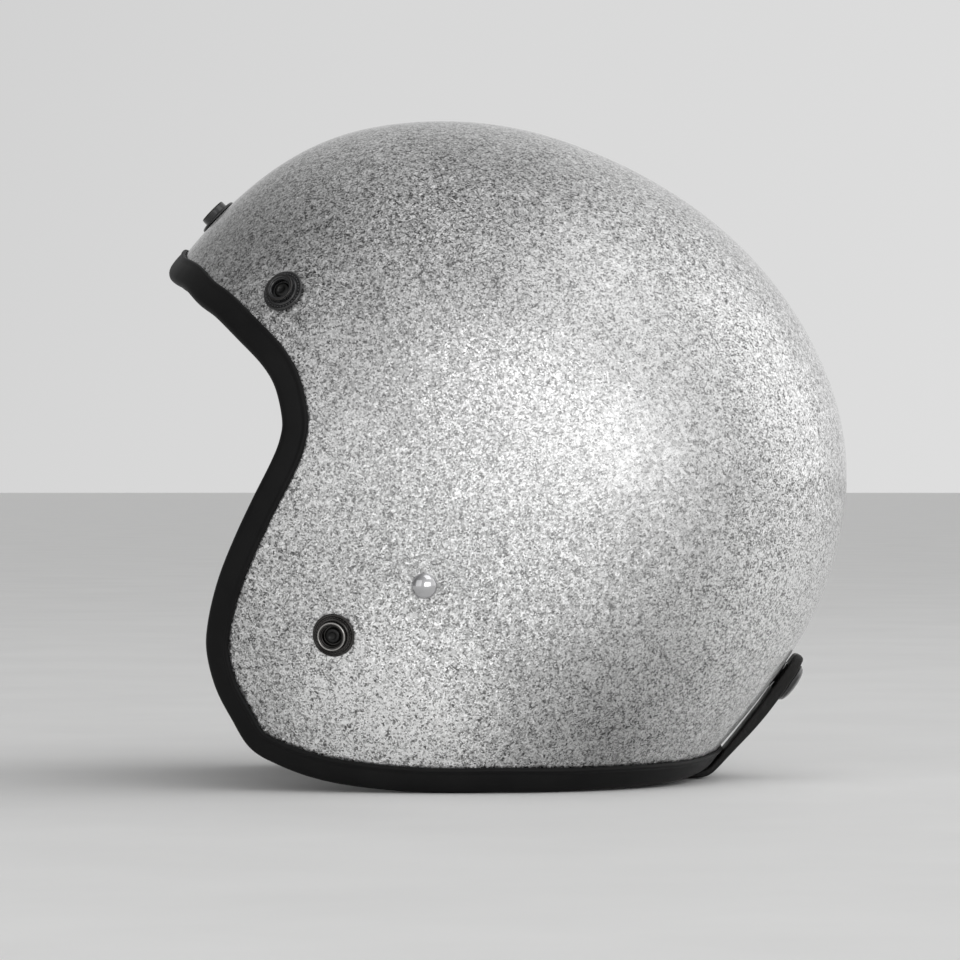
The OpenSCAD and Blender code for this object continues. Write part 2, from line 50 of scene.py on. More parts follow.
# ------------------------------------------------------------------ the shell's form, in millimetres
C = np.array([0.0, 9.0, 118.0])
W = 112.0
FULL = 2.25
RAD = np.array([164.5, 162, 159.5, 157, 154.3, 151.9, 148, 141.8, 135.6, 129.8, 124.6, 120.9, 118.6, 117.5, 117.1, 117.5, 118.5, 119.8,
                120.6, 120.7, 120.8, 121.2, 122.2, 125, 130.5, 139.5, 152, 165, 175, 181, 183, 182, 179, 175, 171, 167.5])


def _spline():
    n = len(RAD)
    A = np.zeros((n, n))
    for i in range(n):
        A[i, i] = 4
        A[i, (i - 1) % n] = A[i, (i + 1) % n] = 1
    return np.linalg.solve(A, 6 * (np.roll(RAD, -1) - 2 * RAD + np.roll(RAD, 1)))


M2 = _spline()


def prof_r(phi):
    p = (np.asarray(phi) / 10.0) % 36
    i = np.floor(p).astype(int) % 36
    f = p - np.floor(p)
    j = (i + 1) % 36
    g = 1 - f
    return g * RAD[i] + f * RAD[j] + ((g ** 3 - g) * M2[i] + (f ** 3 - f) * M2[j]) / 6


def lobe(phi):
    return 2.45 - 0.25 * np.sin(np.radians(phi))


def hit(d):
    d = np.asarray(d, float)
    d = d / np.linalg.norm(d, axis=-1, keepdims=True)
    dx = np.abs(d[..., 0]) / W
    phi = np.degrees(np.arctan2(d[..., 2], -d[..., 1]))
    dr = np.hypot(d[..., 1], d[..., 2]) / prof_r(phi)
    B = lobe(phi)
    t = 1 / np.sqrt(dx ** 2 + dr ** 2)
    for _ in range(8):
        u, v = (t * dx) ** FULL, (t * dr) ** B
        t = t - (u + v - 1) * t / (FULL * u + B * v)
    return C + d * t[..., None]


def on_form(p):
    return hit(np.asarray(p, float) - C)


def form(p):
    q = p - C
    phi = np.degrees(np.arctan2(q[..., 2], -q[..., 1]))
    return (np.abs(q[..., 0]) / W) ** FULL + (np.hypot(q[..., 1], q[..., 2]) / prof_r(phi)) ** lobe(phi) - 1


def out_n(p, e=0.3):
    p = np.asarray(p, float)
    g = np.stack([form(p + np.array(v) * e) - form(p - np.array(v) * e) for v in ((1, 0, 0), (0, 1, 0), (0, 0, 1))], -1)
    return g / np.linalg.norm(g, axis=-1, keepdims=True)


def side_x(y, z):
    y, z = np.asarray(y, float), np.asarray(z, float)
    phi = np.degrees(np.arctan2(z - C[2], C[1] - y))
    q = np.clip(np.hypot(y - C[1], z - C[2]) / prof_r(phi), 0, 1)
    return W * (1 - q ** lobe(phi)) ** (1 / FULL)


def cr(a, b, c, d, f):
    return 0.5 * ((2 * b) + (c - a) * f + (2 * a - 5 * b + 4 * c - d) * f * f + (3 * b - a - 3 * c + d) * f ** 3)


def closed(P, n):
    P = np.asarray(P, float)
    t = np.arange(n) * len(P) / n
    i = np.floor(t).astype(int)
    f = (t - i)[:, None]
    m = len(P)
    return cr(P[(i - 1) % m], P[i % m], P[(i + 1) % m], P[(i + 2) % m], f)


def smooth(P, n):
    P = np.asarray(P, float)
    t = np.arange(n + 1) * (len(P) - 1) / n
    i = np.minimum(len(P) - 2, np.floor(t).astype(int))
    f = (t - i)[:, None]
    return cr(P[np.maximum(0, i - 1)], P[i], P[i + 1], P[np.minimum(len(P) - 1, i + 2)], f)


def even(P, n, ring=False):
    """The same line with n points spaced evenly along it."""
    P = np.asarray(P, float)
    Q = np.vstack([P, P[:1]]) if ring else P
    s = np.r_[0, np.cumsum(np.linalg.norm(np.diff(Q, axis=0), axis=1))]
    t = np.linspace(0, s[-1], n + 1 if ring else n)
    R = np.stack([np.interp(t, s, Q[:, k]) for k in range(Q.shape[1])], 1)
    return R[:-1] if ring else R


def both(P):
    P = np.asarray(P, float)
    return np.vstack([P, P[-2:0:-1] * np.array([-1, 1, 1])])


RIM = [[0, -128.5, 196.4], [27, -126, 191.6], [47, -119.5, 187.5], [61, -113, 181], [71, -106.5, 176],
       [82, -97.5, 167], [90, -89, 158], [94.5, -83.5, 149], [97.5, -80.5, 137], [98.5, -81.5, 129],
       [98, -85, 120], [95.5, -92, 106], [92, -98.5, 92], [87.5, -104.5, 77], [82.5, -108, 62],
       [79.5, -108.3, 52], [78, -105.5, 39], [77.5, -99.5, 28], [77, -93, 18], [80, -82.5, 12.5],
       [84.5, -67.5, 7.4], [89.5, -45.5, 4.3], [92, -20, 3.2], [91.5, 0, 3], [86, 20, 3.2],
       [76, 38, 3.8], [60, 54, 4.6], [38, 67, 5.6], [18, 74, 6.2], [0, 76, 6.4]]
EPS_RIM = [[0, -121, 209.5], [28, -118, 204.5], [50, -111, 197], [66, -101, 188], [80, -89, 176],
           [90, -77, 163], [97, -70, 150], [103, -66, 134], [106, -60, 116], [108, -45, 103], [109, -20, 98],
           [108, 8, 95], [106, 32, 88], [98, 55, 76], [84, 75, 62], [62, 90, 49], [32, 97, 42], [0, 99, 40]]
LINER_RIM = [[0, -117, 213], [28, -114, 208], [50, -107, 200.5], [66, -97, 191], [80, -85, 179],
             [90, -73, 166], [97, -66, 152], [103, -61, 136], [106, -55, 119], [108, -42, 107], [109, -20, 102],
             [108, 8, 99], [106, 31, 92], [98, 53, 80], [84, 73, 66], [62, 87, 53], [32, 94, 46], [0, 96, 44]]
BACK = np.array([0, math.cos(math.radians(25)), math.sin(math.radians(25))])


def slerp(a, b, t):
    w = np.arccos(np.clip(a @ b, -1, 1))
    t = np.asarray(t)[:, None]
    s = np.sin(w)[None, :, None]
    return (a[None] * np.sin(w * (1 - t))[..., None] + b * np.sin(w * t)[..., None]) / s


# ------------------------------------------------------------------ mesh helpers
def make(name, verts, faces, mat, uv=None, smooth_=True, mats=None, fmat=None):
    me = bpy.data.meshes.new(name)
    me.from_pydata((np.asarray(verts, float) * 0.001).tolist(), [], [list(map(int, f)) for f in faces])
    me.update()
    if uv is not None:
        lay = me.uv_layers.new(name="UVMap")
        idx = np.zeros(len(me.loops), np.int64)
        me.loops.foreach_get("vertex_index", idx)
        lay.data.foreach_set("uv", np.asarray(uv, np.float32)[idx].ravel())
    for m in (mats or [mat]):
        me.materials.append(m)
    if fmat is not None:
        me.polygons.foreach_set("material_index", np.asarray(fmat, np.int32))
    if smooth_:
        me.shade_smooth()
    o = bpy.data.objects.new(name, me)
    COL.objects.link(o)
    return o


def done(o, body, nodes=()):
    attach(o, body)
    if nodes:
        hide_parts(*nodes)
    return o


def grid_faces(m, n, base=0, ring=True, flip=False):
    F = []
    for i in range(m - 1):
        for j in range(n if ring else n - 1):
            a, b = base + i * n + j, base + i * n + (j + 1) % n
            q = (a, a + n, b + n, b)
            F.append(q[::-1] if flip else q)
    return F


def layer(loop, pole, ts, dout, din, tr=0.15, inner_fn=None, outer_fn=None, m_in=None):
    """Closed skin between two depths below the form, with a smooth edge. Returns vertices, faces and the number of outer vertices."""
    dirs = loop - C
    dirs = dirs / np.linalg.norm(dirs, axis=1, keepdims=True)
    n = len(dirs)

    def ease(d, t):
        t = np.asarray(t)
        return np.where(t >= tr, d[1], d[0] + (d[1] - d[0]) * np.sqrt(1 - (1 - np.minimum(t, tr) / tr) ** 2))

    def surf(ts, d, fn, sign):
        P = hit(slerp(dirs, pole, ts))
        N = out_n(P)
        Q = P - N * ease(d, ts)[:, None, None]
        if fn is not None:
            Q = fn(Q, N, P)
        top = hit(pole[None])[0]
        tn = out_n(top[None])[0]
        tq = top - tn * d[1]
        if fn is not None:
            tq = fn(tq[None, None], tn[None, None], top[None, None])[0, 0]
        return np.vstack([Q.reshape(-1, 3), tq[None]]), Q

    V1, _ = surf(ts, dout, outer_fn, 1)
    t2 = ts if m_in is None else m_in
    V2, _ = surf(t2, din, inner_fn, -1)
    m1, m2 = len(ts), len(t2)
    b2 = len(V1)
    F = grid_faces(m1, n, 0, True, True) + grid_faces(m2, n, b2, True, False)
    for j in range(n):
        k = (j + 1) % n
        F.append(((m1 - 1) * n + j, (m1 - 1) * n + k, m1 * n))
        F.append((b2 + (m2 - 1) * n + k, b2 + (m2 - 1) * n + j, b2 + m2 * n))
        F.append((k, j, b2 + j, b2 + k))
    return np.vstack([V1, V2]), F, b2


def tangents(L, ring):
    if ring:
        t = np.roll(L, -1, 0) - np.roll(L, 1, 0)
    else:
        t = np.gradient(L, axis=0)
    return t / np.linalg.norm(t, axis=1, keepdims=True)


def frame_b(L, ring=True):
    v = np.cross(out_n(L), tangents(L, ring))
    return v / np.linalg.norm(v, axis=1, keepdims=True)


def beside(p, v, b, h):
    q = on_form(p + v * b)
    return q + out_n(q) * h


def chaikin(P, n=2, ring=True):
    P = np.asarray(P, float)
    for _ in range(n):
        Q = np.roll(P, -1, 0)
        P = np.stack([0.75 * P + 0.25 * Q, 0.25 * P + 0.75 * Q], 1).reshape(-1, P.shape[1])
    return P


def swept(S, ring=False, caps=True):
    """Skin through sections of equal count; returns vertices and faces."""
    S = np.asarray(S)
    m, n = S.shape[:2]
    V = S.reshape(-1, 3)
    F = []
    for i in range(m if ring else m - 1):
        for j in range(n):
            a, b = i * n + j, i * n + (j + 1) % n
            c, d = ((i + 1) % m) * n + j, ((i + 1) % m) * n + (j + 1) % n
            F.append((a, c, d, b))
    if not ring and caps:
        V = np.vstack([V, S[0].mean(0), S[-1].mean(0)])
        for j in range(n):
            k = (j + 1) % n
            F.append((m * n, j, k))
            F.append((m * n + 1, (m - 1) * n + k, (m - 1) * n + j))
    return V, F


def lathe(P, steps=96, place=None, bump=None):
    """Solid of revolution about +Z of points (r, z); place maps it; points on the axis become one vertex."""
    P = np.asarray(P, float)
    a = np.arange(steps) * 2 * np.pi / steps
    V, rows = [], []
    for k, (r, z) in enumerate(P):
        if r < 1e-6:
            rows.append([len(V)] * steps)
            V.append([0, 0, z])
        else:
            rows.append(list(range(len(V), len(V) + steps)))
            V += [[r * c, r * s, z] for c, s in zip(np.cos(a), np.sin(a))]
    F = []
    for k in range(len(rows) - 1):
        for j in range(steps):
            q = [rows[k][j], rows[k][(j + 1) % steps], rows[k + 1][(j + 1) % steps], rows[k + 1][j]]
            u = []
            for x in q:
                if x not in u:
                    u.append(x)
            if len(u) > 2:
                F.append(u)
    V = np.array(V)
    return (V if place is None else place(V)), F


def fillet(P, r=0.15, n=3, ring=False):
    """Rounds the corners of a lathe outline."""
    P = [np.array(p, float) for p in P]
    out = []
    m = len(P)
    for i, p in enumerate(P):
        if not ring and (i == 0 or i == m - 1):
            out.append(p)
            continue
        a, b = P[(i - 1) % m], P[(i + 1) % m]
        da, db = a - p, b - p
        la, lb = np.linalg.norm(da), np.linalg.norm(db)
        k = min(r, la * 0.45, lb * 0.45)
        s, e = p + da / la * k, p + db / lb * k
        for t in np.linspace(0, 1, n + 2):
            out.append((1 - t) ** 2 * s + 2 * t * (1 - t) * p + t * t * e)
    return np.array(out)


def stand(p):
    """Map from the local frame of a fastener to its place on the form."""
    p = np.asarray(p, float)
    n = out_n(p[None])[0]
    x = np.cross([0, 0, 1.0], n)
    x = np.array([1.0, 0, 0]) if np.linalg.norm(x) < 1e-6 else x / np.linalg.norm(x)
    y = np.cross(n, x)
    R = np.stack([x, y, n], 1)
    return lambda V: V @ R.T + p


def along_x(y, z, sx=1):
    return lambda V: np.stack([sx * V[:, 2], V[:, 0] + y, V[:, 1] + z], 1)


def tube(L, r, sides=12, ring=False, taper=None):
    L = np.asarray(L, float)
    T = tangents(L, ring)
    u = np.cross(T[0], [0.3, 0.2, 0.93])
    u /= np.linalg.norm(u)
    S = []
    a = np.arange(sides) * 2 * np.pi / sides
    for k in range(len(L)):
        u = u - T[k] * (u @ T[k])
        u /= np.linalg.norm(u)
        v = np.cross(T[k], u)
        rr = r if taper is None else r * taper[k]
        S.append(L[k] + rr * (np.cos(a)[:, None] * u + np.sin(a)[:, None] * v))
    return swept(S, ring)


class Pile:
    """Collects several small meshes into one piece."""

    def __init__(self):
        self.v, self.f, self.n = [], [], 0

    def add(self, V, F):
        self.v.append(np.asarray(V))
        self.f += [[x + self.n for x in f] for f in F]
        self.n += len(V)

    def stitch(self, p, d, n, length=3.2, r=0.32):
        """One thread of a seam: a low curved dash from p along d, on a surface with normal n."""
        d = d / np.linalg.norm(d)
        ts = np.array([-0.5, -0.36, 0, 0.36, 0.5])
        hs = np.array([-0.25, 0.12, 0.22, 0.12, -0.25]) * r / 0.32
        L = p + d * (ts * length)[:, None] + n * hs[:, None]
        V, F = tube(L, r, 6, False, [0.5, 0.95, 1, 0.95, 0.5])
        self.add(V, F)

    def make(self, name, mat, smooth_=True):
        return make(name, np.vstack(self.v), self.f, mat, smooth_=smooth_)


# ------------------------------------------------------------------ materials
class Mat:
    def __init__(self, name, color=(0.5, 0.5, 0.5), rough=0.5, metal=0.0, **kw):
        self.m = bpy.data.materials.new(name)
        self.m.use_nodes = True
        self.t = self.m.node_tree
        self.t.nodes.clear()
        self.out = self.n("OutputMaterial")
        self.p = self.n("BsdfPrincipled")
        self.t.links.new(self.p.outputs["BSDF"], self.out.inputs["Surface"])
        self.co = self.n("TexCoord").outputs["Object"]
        self.p.inputs["Base Color"].default_value = (*color, 1)
        self.p.inputs["Roughness"].default_value = rough
        self.p.inputs["Metallic"].default_value = metal
        for k, v in kw.items():
            self.p.inputs[k.replace("_", " ")].default_value = v
        self.m.diffuse_color = (*color, 1)

    def n(self, kind, **kw):
        x = self.t.nodes.new("ShaderNode" + kind)
        for k, v in kw.items():
            setattr(x, k, v)
        return x

    def link(self, a, b):
        self.t.links.new(a, b)

    def noise(self, scale, detail=4.0, rough=0.55, co=None, dist=0.0):
        x = self.n("TexNoise")
        x.inputs["Scale"].default_value = scale
        x.inputs["Detail"].default_value = detail
        x.inputs["Roughness"].default_value = rough
        x.inputs["Distortion"].default_value = dist
        self.link(co or self.co, x.inputs["Vector"])
        return x.outputs["Fac"]

    def voronoi(self, scale, feature="F1", out="Distance", co=None, rnd=1.0, smooth=None):
        x = self.n("TexVoronoi", feature=feature)
        x.inputs["Scale"].default_value = scale
        x.inputs["Randomness"].default_value = rnd
        self.link(co or self.co, x.inputs["Vector"])
        return x.outputs[out]

    def ramp(self, fac, stops):
        x = self.n("ValToRGB")
        e = x.color_ramp.elements
        while len(e) < len(stops):
            e.new(0.5)
        for k, (pos, c) in enumerate(stops):
            e[k].position = pos
            e[k].color = (c, c, c, 1) if np.isscalar(c) else (*c, 1)
        self.link(fac, x.inputs["Fac"])
        return x.outputs["Color"]

    def math(self, op, a, b=None, c=None):
        x = self.n("Math", operation=op)
        for k, v in enumerate((a, b, c)):
            if v is None:
                continue
            if np.isscalar(v):
                x.inputs[k].default_value = v
            else:
                self.link(v, x.inputs[k])
        return x.outputs[0]

    def vec(self, op, a, b=None, scale=None, out=0):
        x = self.n("VectorMath", operation=op)
        for k, v in enumerate((a, b)):
            if v is None:
                continue
            if isinstance(v, tuple):
                x.inputs[k].default_value = v
            else:
                self.link(v, x.inputs[k])
        if scale is not None:
            x.inputs["Scale"].default_value = scale
        return x.outputs[out]

    def bump(self, height, strength=0.5, dist=0.001, normal=None):
        x = self.n("Bump")
        x.inputs["Strength"].default_value = strength
        x.inputs["Distance"].default_value = dist
        self.link(height, x.inputs["Height"])
        if normal is not None:
            self.link(normal, x.inputs["Normal"])
        return x.outputs["Normal"]

    def set(self, **kw):
        for k, v in kw.items():
            self.link(v, self.p.inputs[k.replace("_", " ")])
        return self


def flake():
    # flakes lie at slightly different tilts under a thick clear coat; the coat has a little orange peel
    m = Mat("metal_flake_silver", (0.62, 0.62, 0.63), 0.30, 1.0, Coat_Weight=0.7, Coat_Roughness=0.07, Coat_IOR=1.45)
    geo = m.n("NewGeometry").outputs["Normal"]
    c1 = m.voronoi(1850, out="Color")
    c2 = m.voronoi(760, out="Color")
    t1 = m.vec("SCALE", m.vec("SUBTRACT", c1, (0.5, 0.5, 0.5)), scale=0.27)
    t2 = m.vec("SCALE", m.vec("SUBTRACT", c2, (0.5, 0.5, 0.5)), scale=0.16)
    nrm = m.vec("NORMALIZE", m.vec("ADD", geo, m.vec("ADD", t1, t2)))
    sep = m.n("SeparateColor")
    m.link(c1, sep.inputs["Color"])
    sep2 = m.n("SeparateColor")
    m.link(c2, sep2.inputs["Color"])
    v = m.math("ADD", m.math("MULTIPLY", sep.outputs["Green"], 0.7), m.math("MULTIPLY", sep2.outputs["Red"], 0.3))
    base = m.ramp(v, [(0.10, 0.09), (0.28, 0.34), (0.50, 0.62), (0.88, 0.94)])
    cloud = m.ramp(m.noise(16, 3), [(0.3, 0.90), (0.7, 1.0)])
    # painted highlight: flake contrast lowered in the middle of the left side, where the key highlight falls, fitted to
    # the same view and not a property of the paint
    even = m.ramp(v, [(0.10, 0.38), (0.50, 0.62), (0.88, 0.78)])
    highlight_wash_mask = m.ramp(m.math("MULTIPLY", m.vec("DISTANCE", m.co, (0.108, 0.005, 0.125), out=1), 1 / 0.105), [(0.25, 0.85), (1.0, 0.0)])
    soft = m.n("Mix", data_type="RGBA")
    m.link(highlight_wash_mask, soft.inputs["Factor"])
    m.link(base, soft.inputs["A"])
    m.link(even, soft.inputs["B"])
    base = soft.outputs["Result"]
    mix = m.n("Mix", data_type="RGBA", blend_type="MULTIPLY")
    mix.inputs["Factor"].default_value = 1.0
    m.link(base, mix.inputs["A"])
    m.link(cloud, mix.inputs["B"])
    col = mix.outputs["Result"]
    # painted-in light and dark for the left side, fitted to one view and not a property of the paint; remove this
    # loop, and the mix called soft above, to relight the part
    for cen, rad, low in (((0.094, 0.034, 0.020), 0.058, 0.62), ((0.078, -0.004, 0.206), 0.052, 0.60), ((0.060, -0.085, 0.205), 0.055, 0.86),
                          ((0.098, -0.042, 0.032), 0.050, 1.62), ((0.062, 0.102, 0.082), 0.052, 1.48),
                          ((0.093, -0.065, 0.160), 0.042, 0.84), ((0.045, -0.068, 0.226), 0.042, 1.24)):
        dist = m.vec("DISTANCE", m.co, cen, out=1)
        k = m.ramp(m.math("MULTIPLY", dist, 1 / rad), [(0.1, low), (0.95, 1.0)])
        mx = m.n("Mix", data_type="RGBA", blend_type="MULTIPLY", clamp_result=True)
        mx.inputs["Factor"].default_value = 1.0
        m.link(col, mx.inputs["A"])
        m.link(k, mx.inputs["B"])
        col = mx.outputs["Result"]
    rough = m.ramp(sep.outputs["Blue"], [(0.0, 0.34), (1.0, 0.50)])
    coat = m.bump(m.noise(330, 2), 0.10, 0.0006)
    return m.set(Base_Color=col, Roughness=rough, Normal=nrm, Coat_Normal=coat).m


def fibre():
    m = Mat("fibreglass_inside", (0.03, 0.03, 0.03), 0.7)
    w = m.voronoi(260)
    return m.set(Base_Color=m.ramp(w, [(0, 0.02), (1, 0.05)]), Normal=m.bump(m.noise(420, 6), 0.5, 0.0006)).m


def rubber():
    m = Mat("trim_rubber", (0.008, 0.008, 0.008), 0.5, Specular_IOR_Level=0.12)
    fine = m.noise(2600, 3)
    slow = m.noise(55, 3)
    m.set(Base_Color=m.ramp(slow, [(0.3, (0.0062, 0.0062, 0.0064)), (0.7, (0.0095, 0.0095, 0.0096))]),
          Roughness=m.ramp(slow, [(0.25, 0.42), (0.75, 0.56)]), Normal=m.bump(fine, 0.16, 0.0002))
    return m.m


def foam():
    m = Mat("bead_foam", (0.012, 0.012, 0.013), 0.85)
    d = m.voronoi(310, "DISTANCE_TO_EDGE")
    h = m.ramp(d, [(0.0, 0.0), (0.09, 0.75), (0.3, 1.0)])
    m.set(Base_Color=m.ramp(d, [(0.0, 0.006), (0.1, 0.018), (0.5, 0.024)]), Normal=m.bump(h, 0.6, 0.0009))
    return m.m


def cloth(name, lo, hi, sheen=0.35):
    # brushed knit: fine ribs both ways, broken by noise
    m = Mat(name, hi, 0.9, Sheen_Weight=sheen, Sheen_Roughness=0.4)
    w = m.n("TexWave", wave_type="BANDS", bands_direction="DIAGONAL")
    w.inputs["Scale"].default_value = 420
    w.inputs["Distortion"].default_value = 2.0
    w.inputs["Detail"].default_value = 2
    w.inputs["Detail Scale"].default_value = 2
    m.link(m.co, w.inputs["Vector"])
    v = m.voronoi(900)
    h = m.math("ADD", m.math("MULTIPLY", w.outputs["Fac"], 0.6), m.math("MULTIPLY", v, 0.8))
    m.set(Base_Color=m.ramp(m.math("ADD", m.math("MULTIPLY", m.noise(60, 4), 0.5), m.math("MULTIPLY", v, 0.6)), [(0.2, lo), (0.75, hi)]),
          Normal=m.bump(h, 0.45, 0.0005))
    return m.m


def hide(name, lo, hi, rough=0.42, grain=520, strength=0.55):
    # leather grain: cells with creases between them, finer pores, and slow colour change
    m = Mat(name, hi, rough, Specular_IOR_Level=0.22)
    cell = m.voronoi(grain, "DISTANCE_TO_EDGE")
    crease = m.ramp(cell, [(0.0, 0.0), (0.12, 0.8), (0.4, 1.0)])
    pores = m.noise(grain * 3.4, 4)
    h = m.math("ADD", crease, m.math("MULTIPLY", pores, 0.45))
    slow = m.noise(70, 4)
    m.set(Base_Color=m.ramp(slow, [(0.25, lo), (0.75, hi)]), Roughness=m.ramp(m.noise(120, 4), [(0.3, rough - 0.08), (0.7, rough + 0.12)]),
          Normal=m.bump(h, strength, 0.0005))
    return m.m


def metal(name, lo, hi, r0, r1, scale=260, bump=0.05, coat=0.0):
    m = Mat(name, hi, r0, 1.0, Coat_Weight=coat, Coat_Roughness=0.1)
    s = m.noise(scale, 5, 0.65)
    m.set(Base_Color=m.ramp(m.noise(scale * 0.3, 4), [(0.3, lo), (0.7, hi)]), Roughness=m.ramp(s, [(0.3, r0), (0.7, r1)]),
          Normal=m.bump(m.noise(scale * 4, 3), bump, 0.0002))
    return m.m


def enamel():
    # black enamel on brass; tone and gloss vary with noise, and the thinner enamel at the raised edges is not drawn
    m = Mat("snap_enamel_black", (0.010, 0.010, 0.011), 0.28, 0.15, Coat_Weight=0.6, Coat_Roughness=0.09)
    s = m.noise(380, 5, 0.6)
    m.set(Base_Color=m.ramp(s, [(0.35, (0.006, 0.006, 0.007)), (0.72, (0.016, 0.016, 0.017))]), Roughness=m.ramp(s, [(0.3, 0.22), (0.75, 0.4)]),
          Normal=m.bump(m.noise(1500, 3), 0.08, 0.0002))
    return m.m


def webbing():
    # woven nylon: floats of yarn in offset rows, from the piece's own length and width
    m = Mat("nylon_webbing", (0.012, 0.012, 0.012), 0.62, Sheen_Weight=0.25, Sheen_Roughness=0.35)
    uv = m.n("UVMap", uv_map="UVMap").outputs["UV"]
    b = m.n("TexBrick", offset=0.5, offset_frequency=2, squash=1.0)
    b.inputs["Scale"].default_value = 1.0
    b.inputs["Brick Width"].default_value = 0.0021
    b.inputs["Row Height"].default_value = 0.00115
    b.inputs["Mortar Size"].default_value = 0.00022
    b.inputs["Mortar Smooth"].default_value = 1.0
    b.inputs["Color1"].default_value = (0.020, 0.020, 0.021, 1)
    b.inputs["Color2"].default_value = (0.011, 0.011, 0.012, 1)
    b.inputs["Mortar"].default_value = (0.003, 0.003, 0.003, 1)
    m.link(uv, b.inputs["Vector"])
    inv = m.math("SUBTRACT", 1.0, b.outputs["Fac"])
    fine = m.noise(3000, 2)
    m.set(Base_Color=b.outputs["Color"], Normal=m.bump(m.math("ADD", inv, m.math("MULTIPLY", fine, 0.3)), 0.7, 0.0005))
    return m.m


def thread(name, c):
    m = Mat(name, c, 0.55, Sheen_Weight=0.3)
    w = m.n("TexWave", wave_type="BANDS", bands_direction="DIAGONAL")
    w.inputs["Scale"].default_value = 1400
    m.link(m.co, w.inputs["Vector"])
    m.set(Base_Color=m.ramp(m.noise(900, 2), [(0.3, tuple(x * 0.6 for x in c)), (0.7, c)]), Normal=m.bump(w.outputs["Fac"], 0.5, 0.0002))
    return m.m


FLAKE, FIBRE, RUBBER, FOAM = flake(), fibre(), rubber(), foam()
KNIT = cloth("brushed_knit", (0.022, 0.022, 0.023), (0.060, 0.060, 0.063))
SATIN = cloth("liner_quilt", (0.030, 0.030, 0.032), (0.085, 0.085, 0.090), 0.5)
SKAI = hide("leatherette", (0.011, 0.011, 0.011), (0.021, 0.021, 0.021), 0.42, 560)
LEATHER = hide("strap_leather", (0.0075, 0.0072, 0.007), (0.0145, 0.014, 0.0135), 0.40, 900, 0.35)
ENAMEL = enamel()
NICKEL = metal("black_nickel", (0.030, 0.029, 0.028), (0.075, 0.072, 0.070), 0.16, 0.30, 420, 0.08)
RING = metal("worn_nickel_edge", (0.32, 0.31, 0.30), (0.52, 0.51, 0.49), 0.16, 0.30, 500, 0.08)
CHROME = metal("rivet_chrome", (0.50, 0.50, 0.51), (0.68, 0.68, 0.69), 0.05, 0.13, 300, 0.04)
STEEL = metal("plated_steel", (0.38, 0.38, 0.38), (0.56, 0.56, 0.55), 0.2, 0.36, 600, 0.12)
DARKSTEEL = metal("dark_post", (0.020, 0.020, 0.020), (0.05, 0.05, 0.05), 0.25, 0.4, 600, 0.12)
WEB = webbing()
THREAD = thread("grey_thread", (0.085, 0.085, 0.088))

# ------------------------------------------------------------------ shell and trim
NR = 480
rim = on_form(closed(both(RIM), NR))
ts = np.r_[0, 0.004, 0.012, 0.024, 0.04, np.linspace(0.06, 0.985, 104)]
ts_in = np.r_[0, 0.02, 0.05, np.linspace(0.1, 0.97, 30)]
V, F, b2 = layer(rim, BACK, ts, [0, 0], [3.5, 3.5], m_in=ts_in)
fm = [0 if min(f) < b2 and max(f) < b2 else 1 for f in F]
done(make("shell", V, F, None, mats=[FLAKE, FIBRE], fmat=fm), "helmet", ["outer_shell"])

w, t, d = 8.0, 1.9, -4.0
P = chaikin([[-0.4, 0.3], [3.5, 0.3], [w - 0.3, 0.25], [w + 0.05, 0.35], [w + 0.1, 0.75], [w - 0.05, 1.25], [w - 0.45, t - 0.2], [w - 1.0, t - 0.12],
             [w - 1.5, t - 0.28], [w - 2.1, t - 0.42], [w - 3.0, t - 0.24], [3.2, t - 0.06], [1.6, t], [0.2, t - 0.02], [-0.9, t - 0.3], [-1.8, t - 0.95],
             [-2.35, 0.1], [-2.55, -1.2], [-2.5, -2.6], [-2.15, d - 0.2], [-1.5, d - 1.0], [-0.5, d - 1.55], [0.8, d - 1.75], [w - 2.6, d - 1.7],
             [w - 1.5, d - 1.55], [w - 0.95, d - 0.95], [w - 1.0, d - 0.2], [w - 1.5, d], [3, d], [-0.4, d]], 2)
v = frame_b(rim)
S = np.stack([beside(rim, v, q[0], q[1]) for q in P], 1)
V, F = swept(S[:, ::-1], True)
done(make("rim_trim", V, F, RUBBER), "helmet", ["edge_trim"])

# ------------------------------------------------------------------ foam liner and comfort liner
NL = 300
eps_in = 28.0
V, F, _ = layer(on_form(closed(both(EPS_RIM), NL)), BACK, np.r_[0, 0.004, 0.012, 0.024, 0.04, np.linspace(0.07, 0.97, 30)], [4.6, 4.6], [22, eps_in], 0.04)
done(make("foam_liner", V, F, FOAM), "helmet", ["impact_liner"])

QP = 27.0


def quilt_uv(P):
    q = P - C
    r = np.linalg.norm(q, axis=-1)
    th = np.arccos(np.clip(q[..., 2] / r, -1, 1))
    ps = np.arctan2(q[..., 1], q[..., 0])
    return 84 * th * np.cos(ps), 84 * th * np.sin(ps)


def quilt(P):
    u, v = quilt_uv(P)
    a, b = (u + v) / math.sqrt(2) / QP, (u - v) / math.sqrt(2) / QP
    return (np.abs(np.sin(np.pi * a)) * np.abs(np.sin(np.pi * b))) ** 0.33


def pillow(Q, N, P):
    return Q - N * (1.6 * quilt(P) - 0.9)[..., None] * np.minimum(1, np.arange(len(P)) / 6)[:, None, None] if len(P) > 1 else Q


lin_loop = on_form(closed(both(LINER_RIM), NL + 60))
base_in = 35.1
V, F, _ = layer(lin_loop, BACK, np.r_[0, 0.01, 0.03, 0.05, np.linspace(0.1, 0.97, 20)], [29.1, 29.1], [31, base_in], 0.05,
                inner_fn=pillow, m_in=np.r_[0, 0.006, 0.015, 0.03, 0.045, 0.06, np.linspace(0.08, 0.985, 110)])
crown = make("quilted_liner", V, F, SATIN)
done(crown, "helmet", ["crown_liner"])

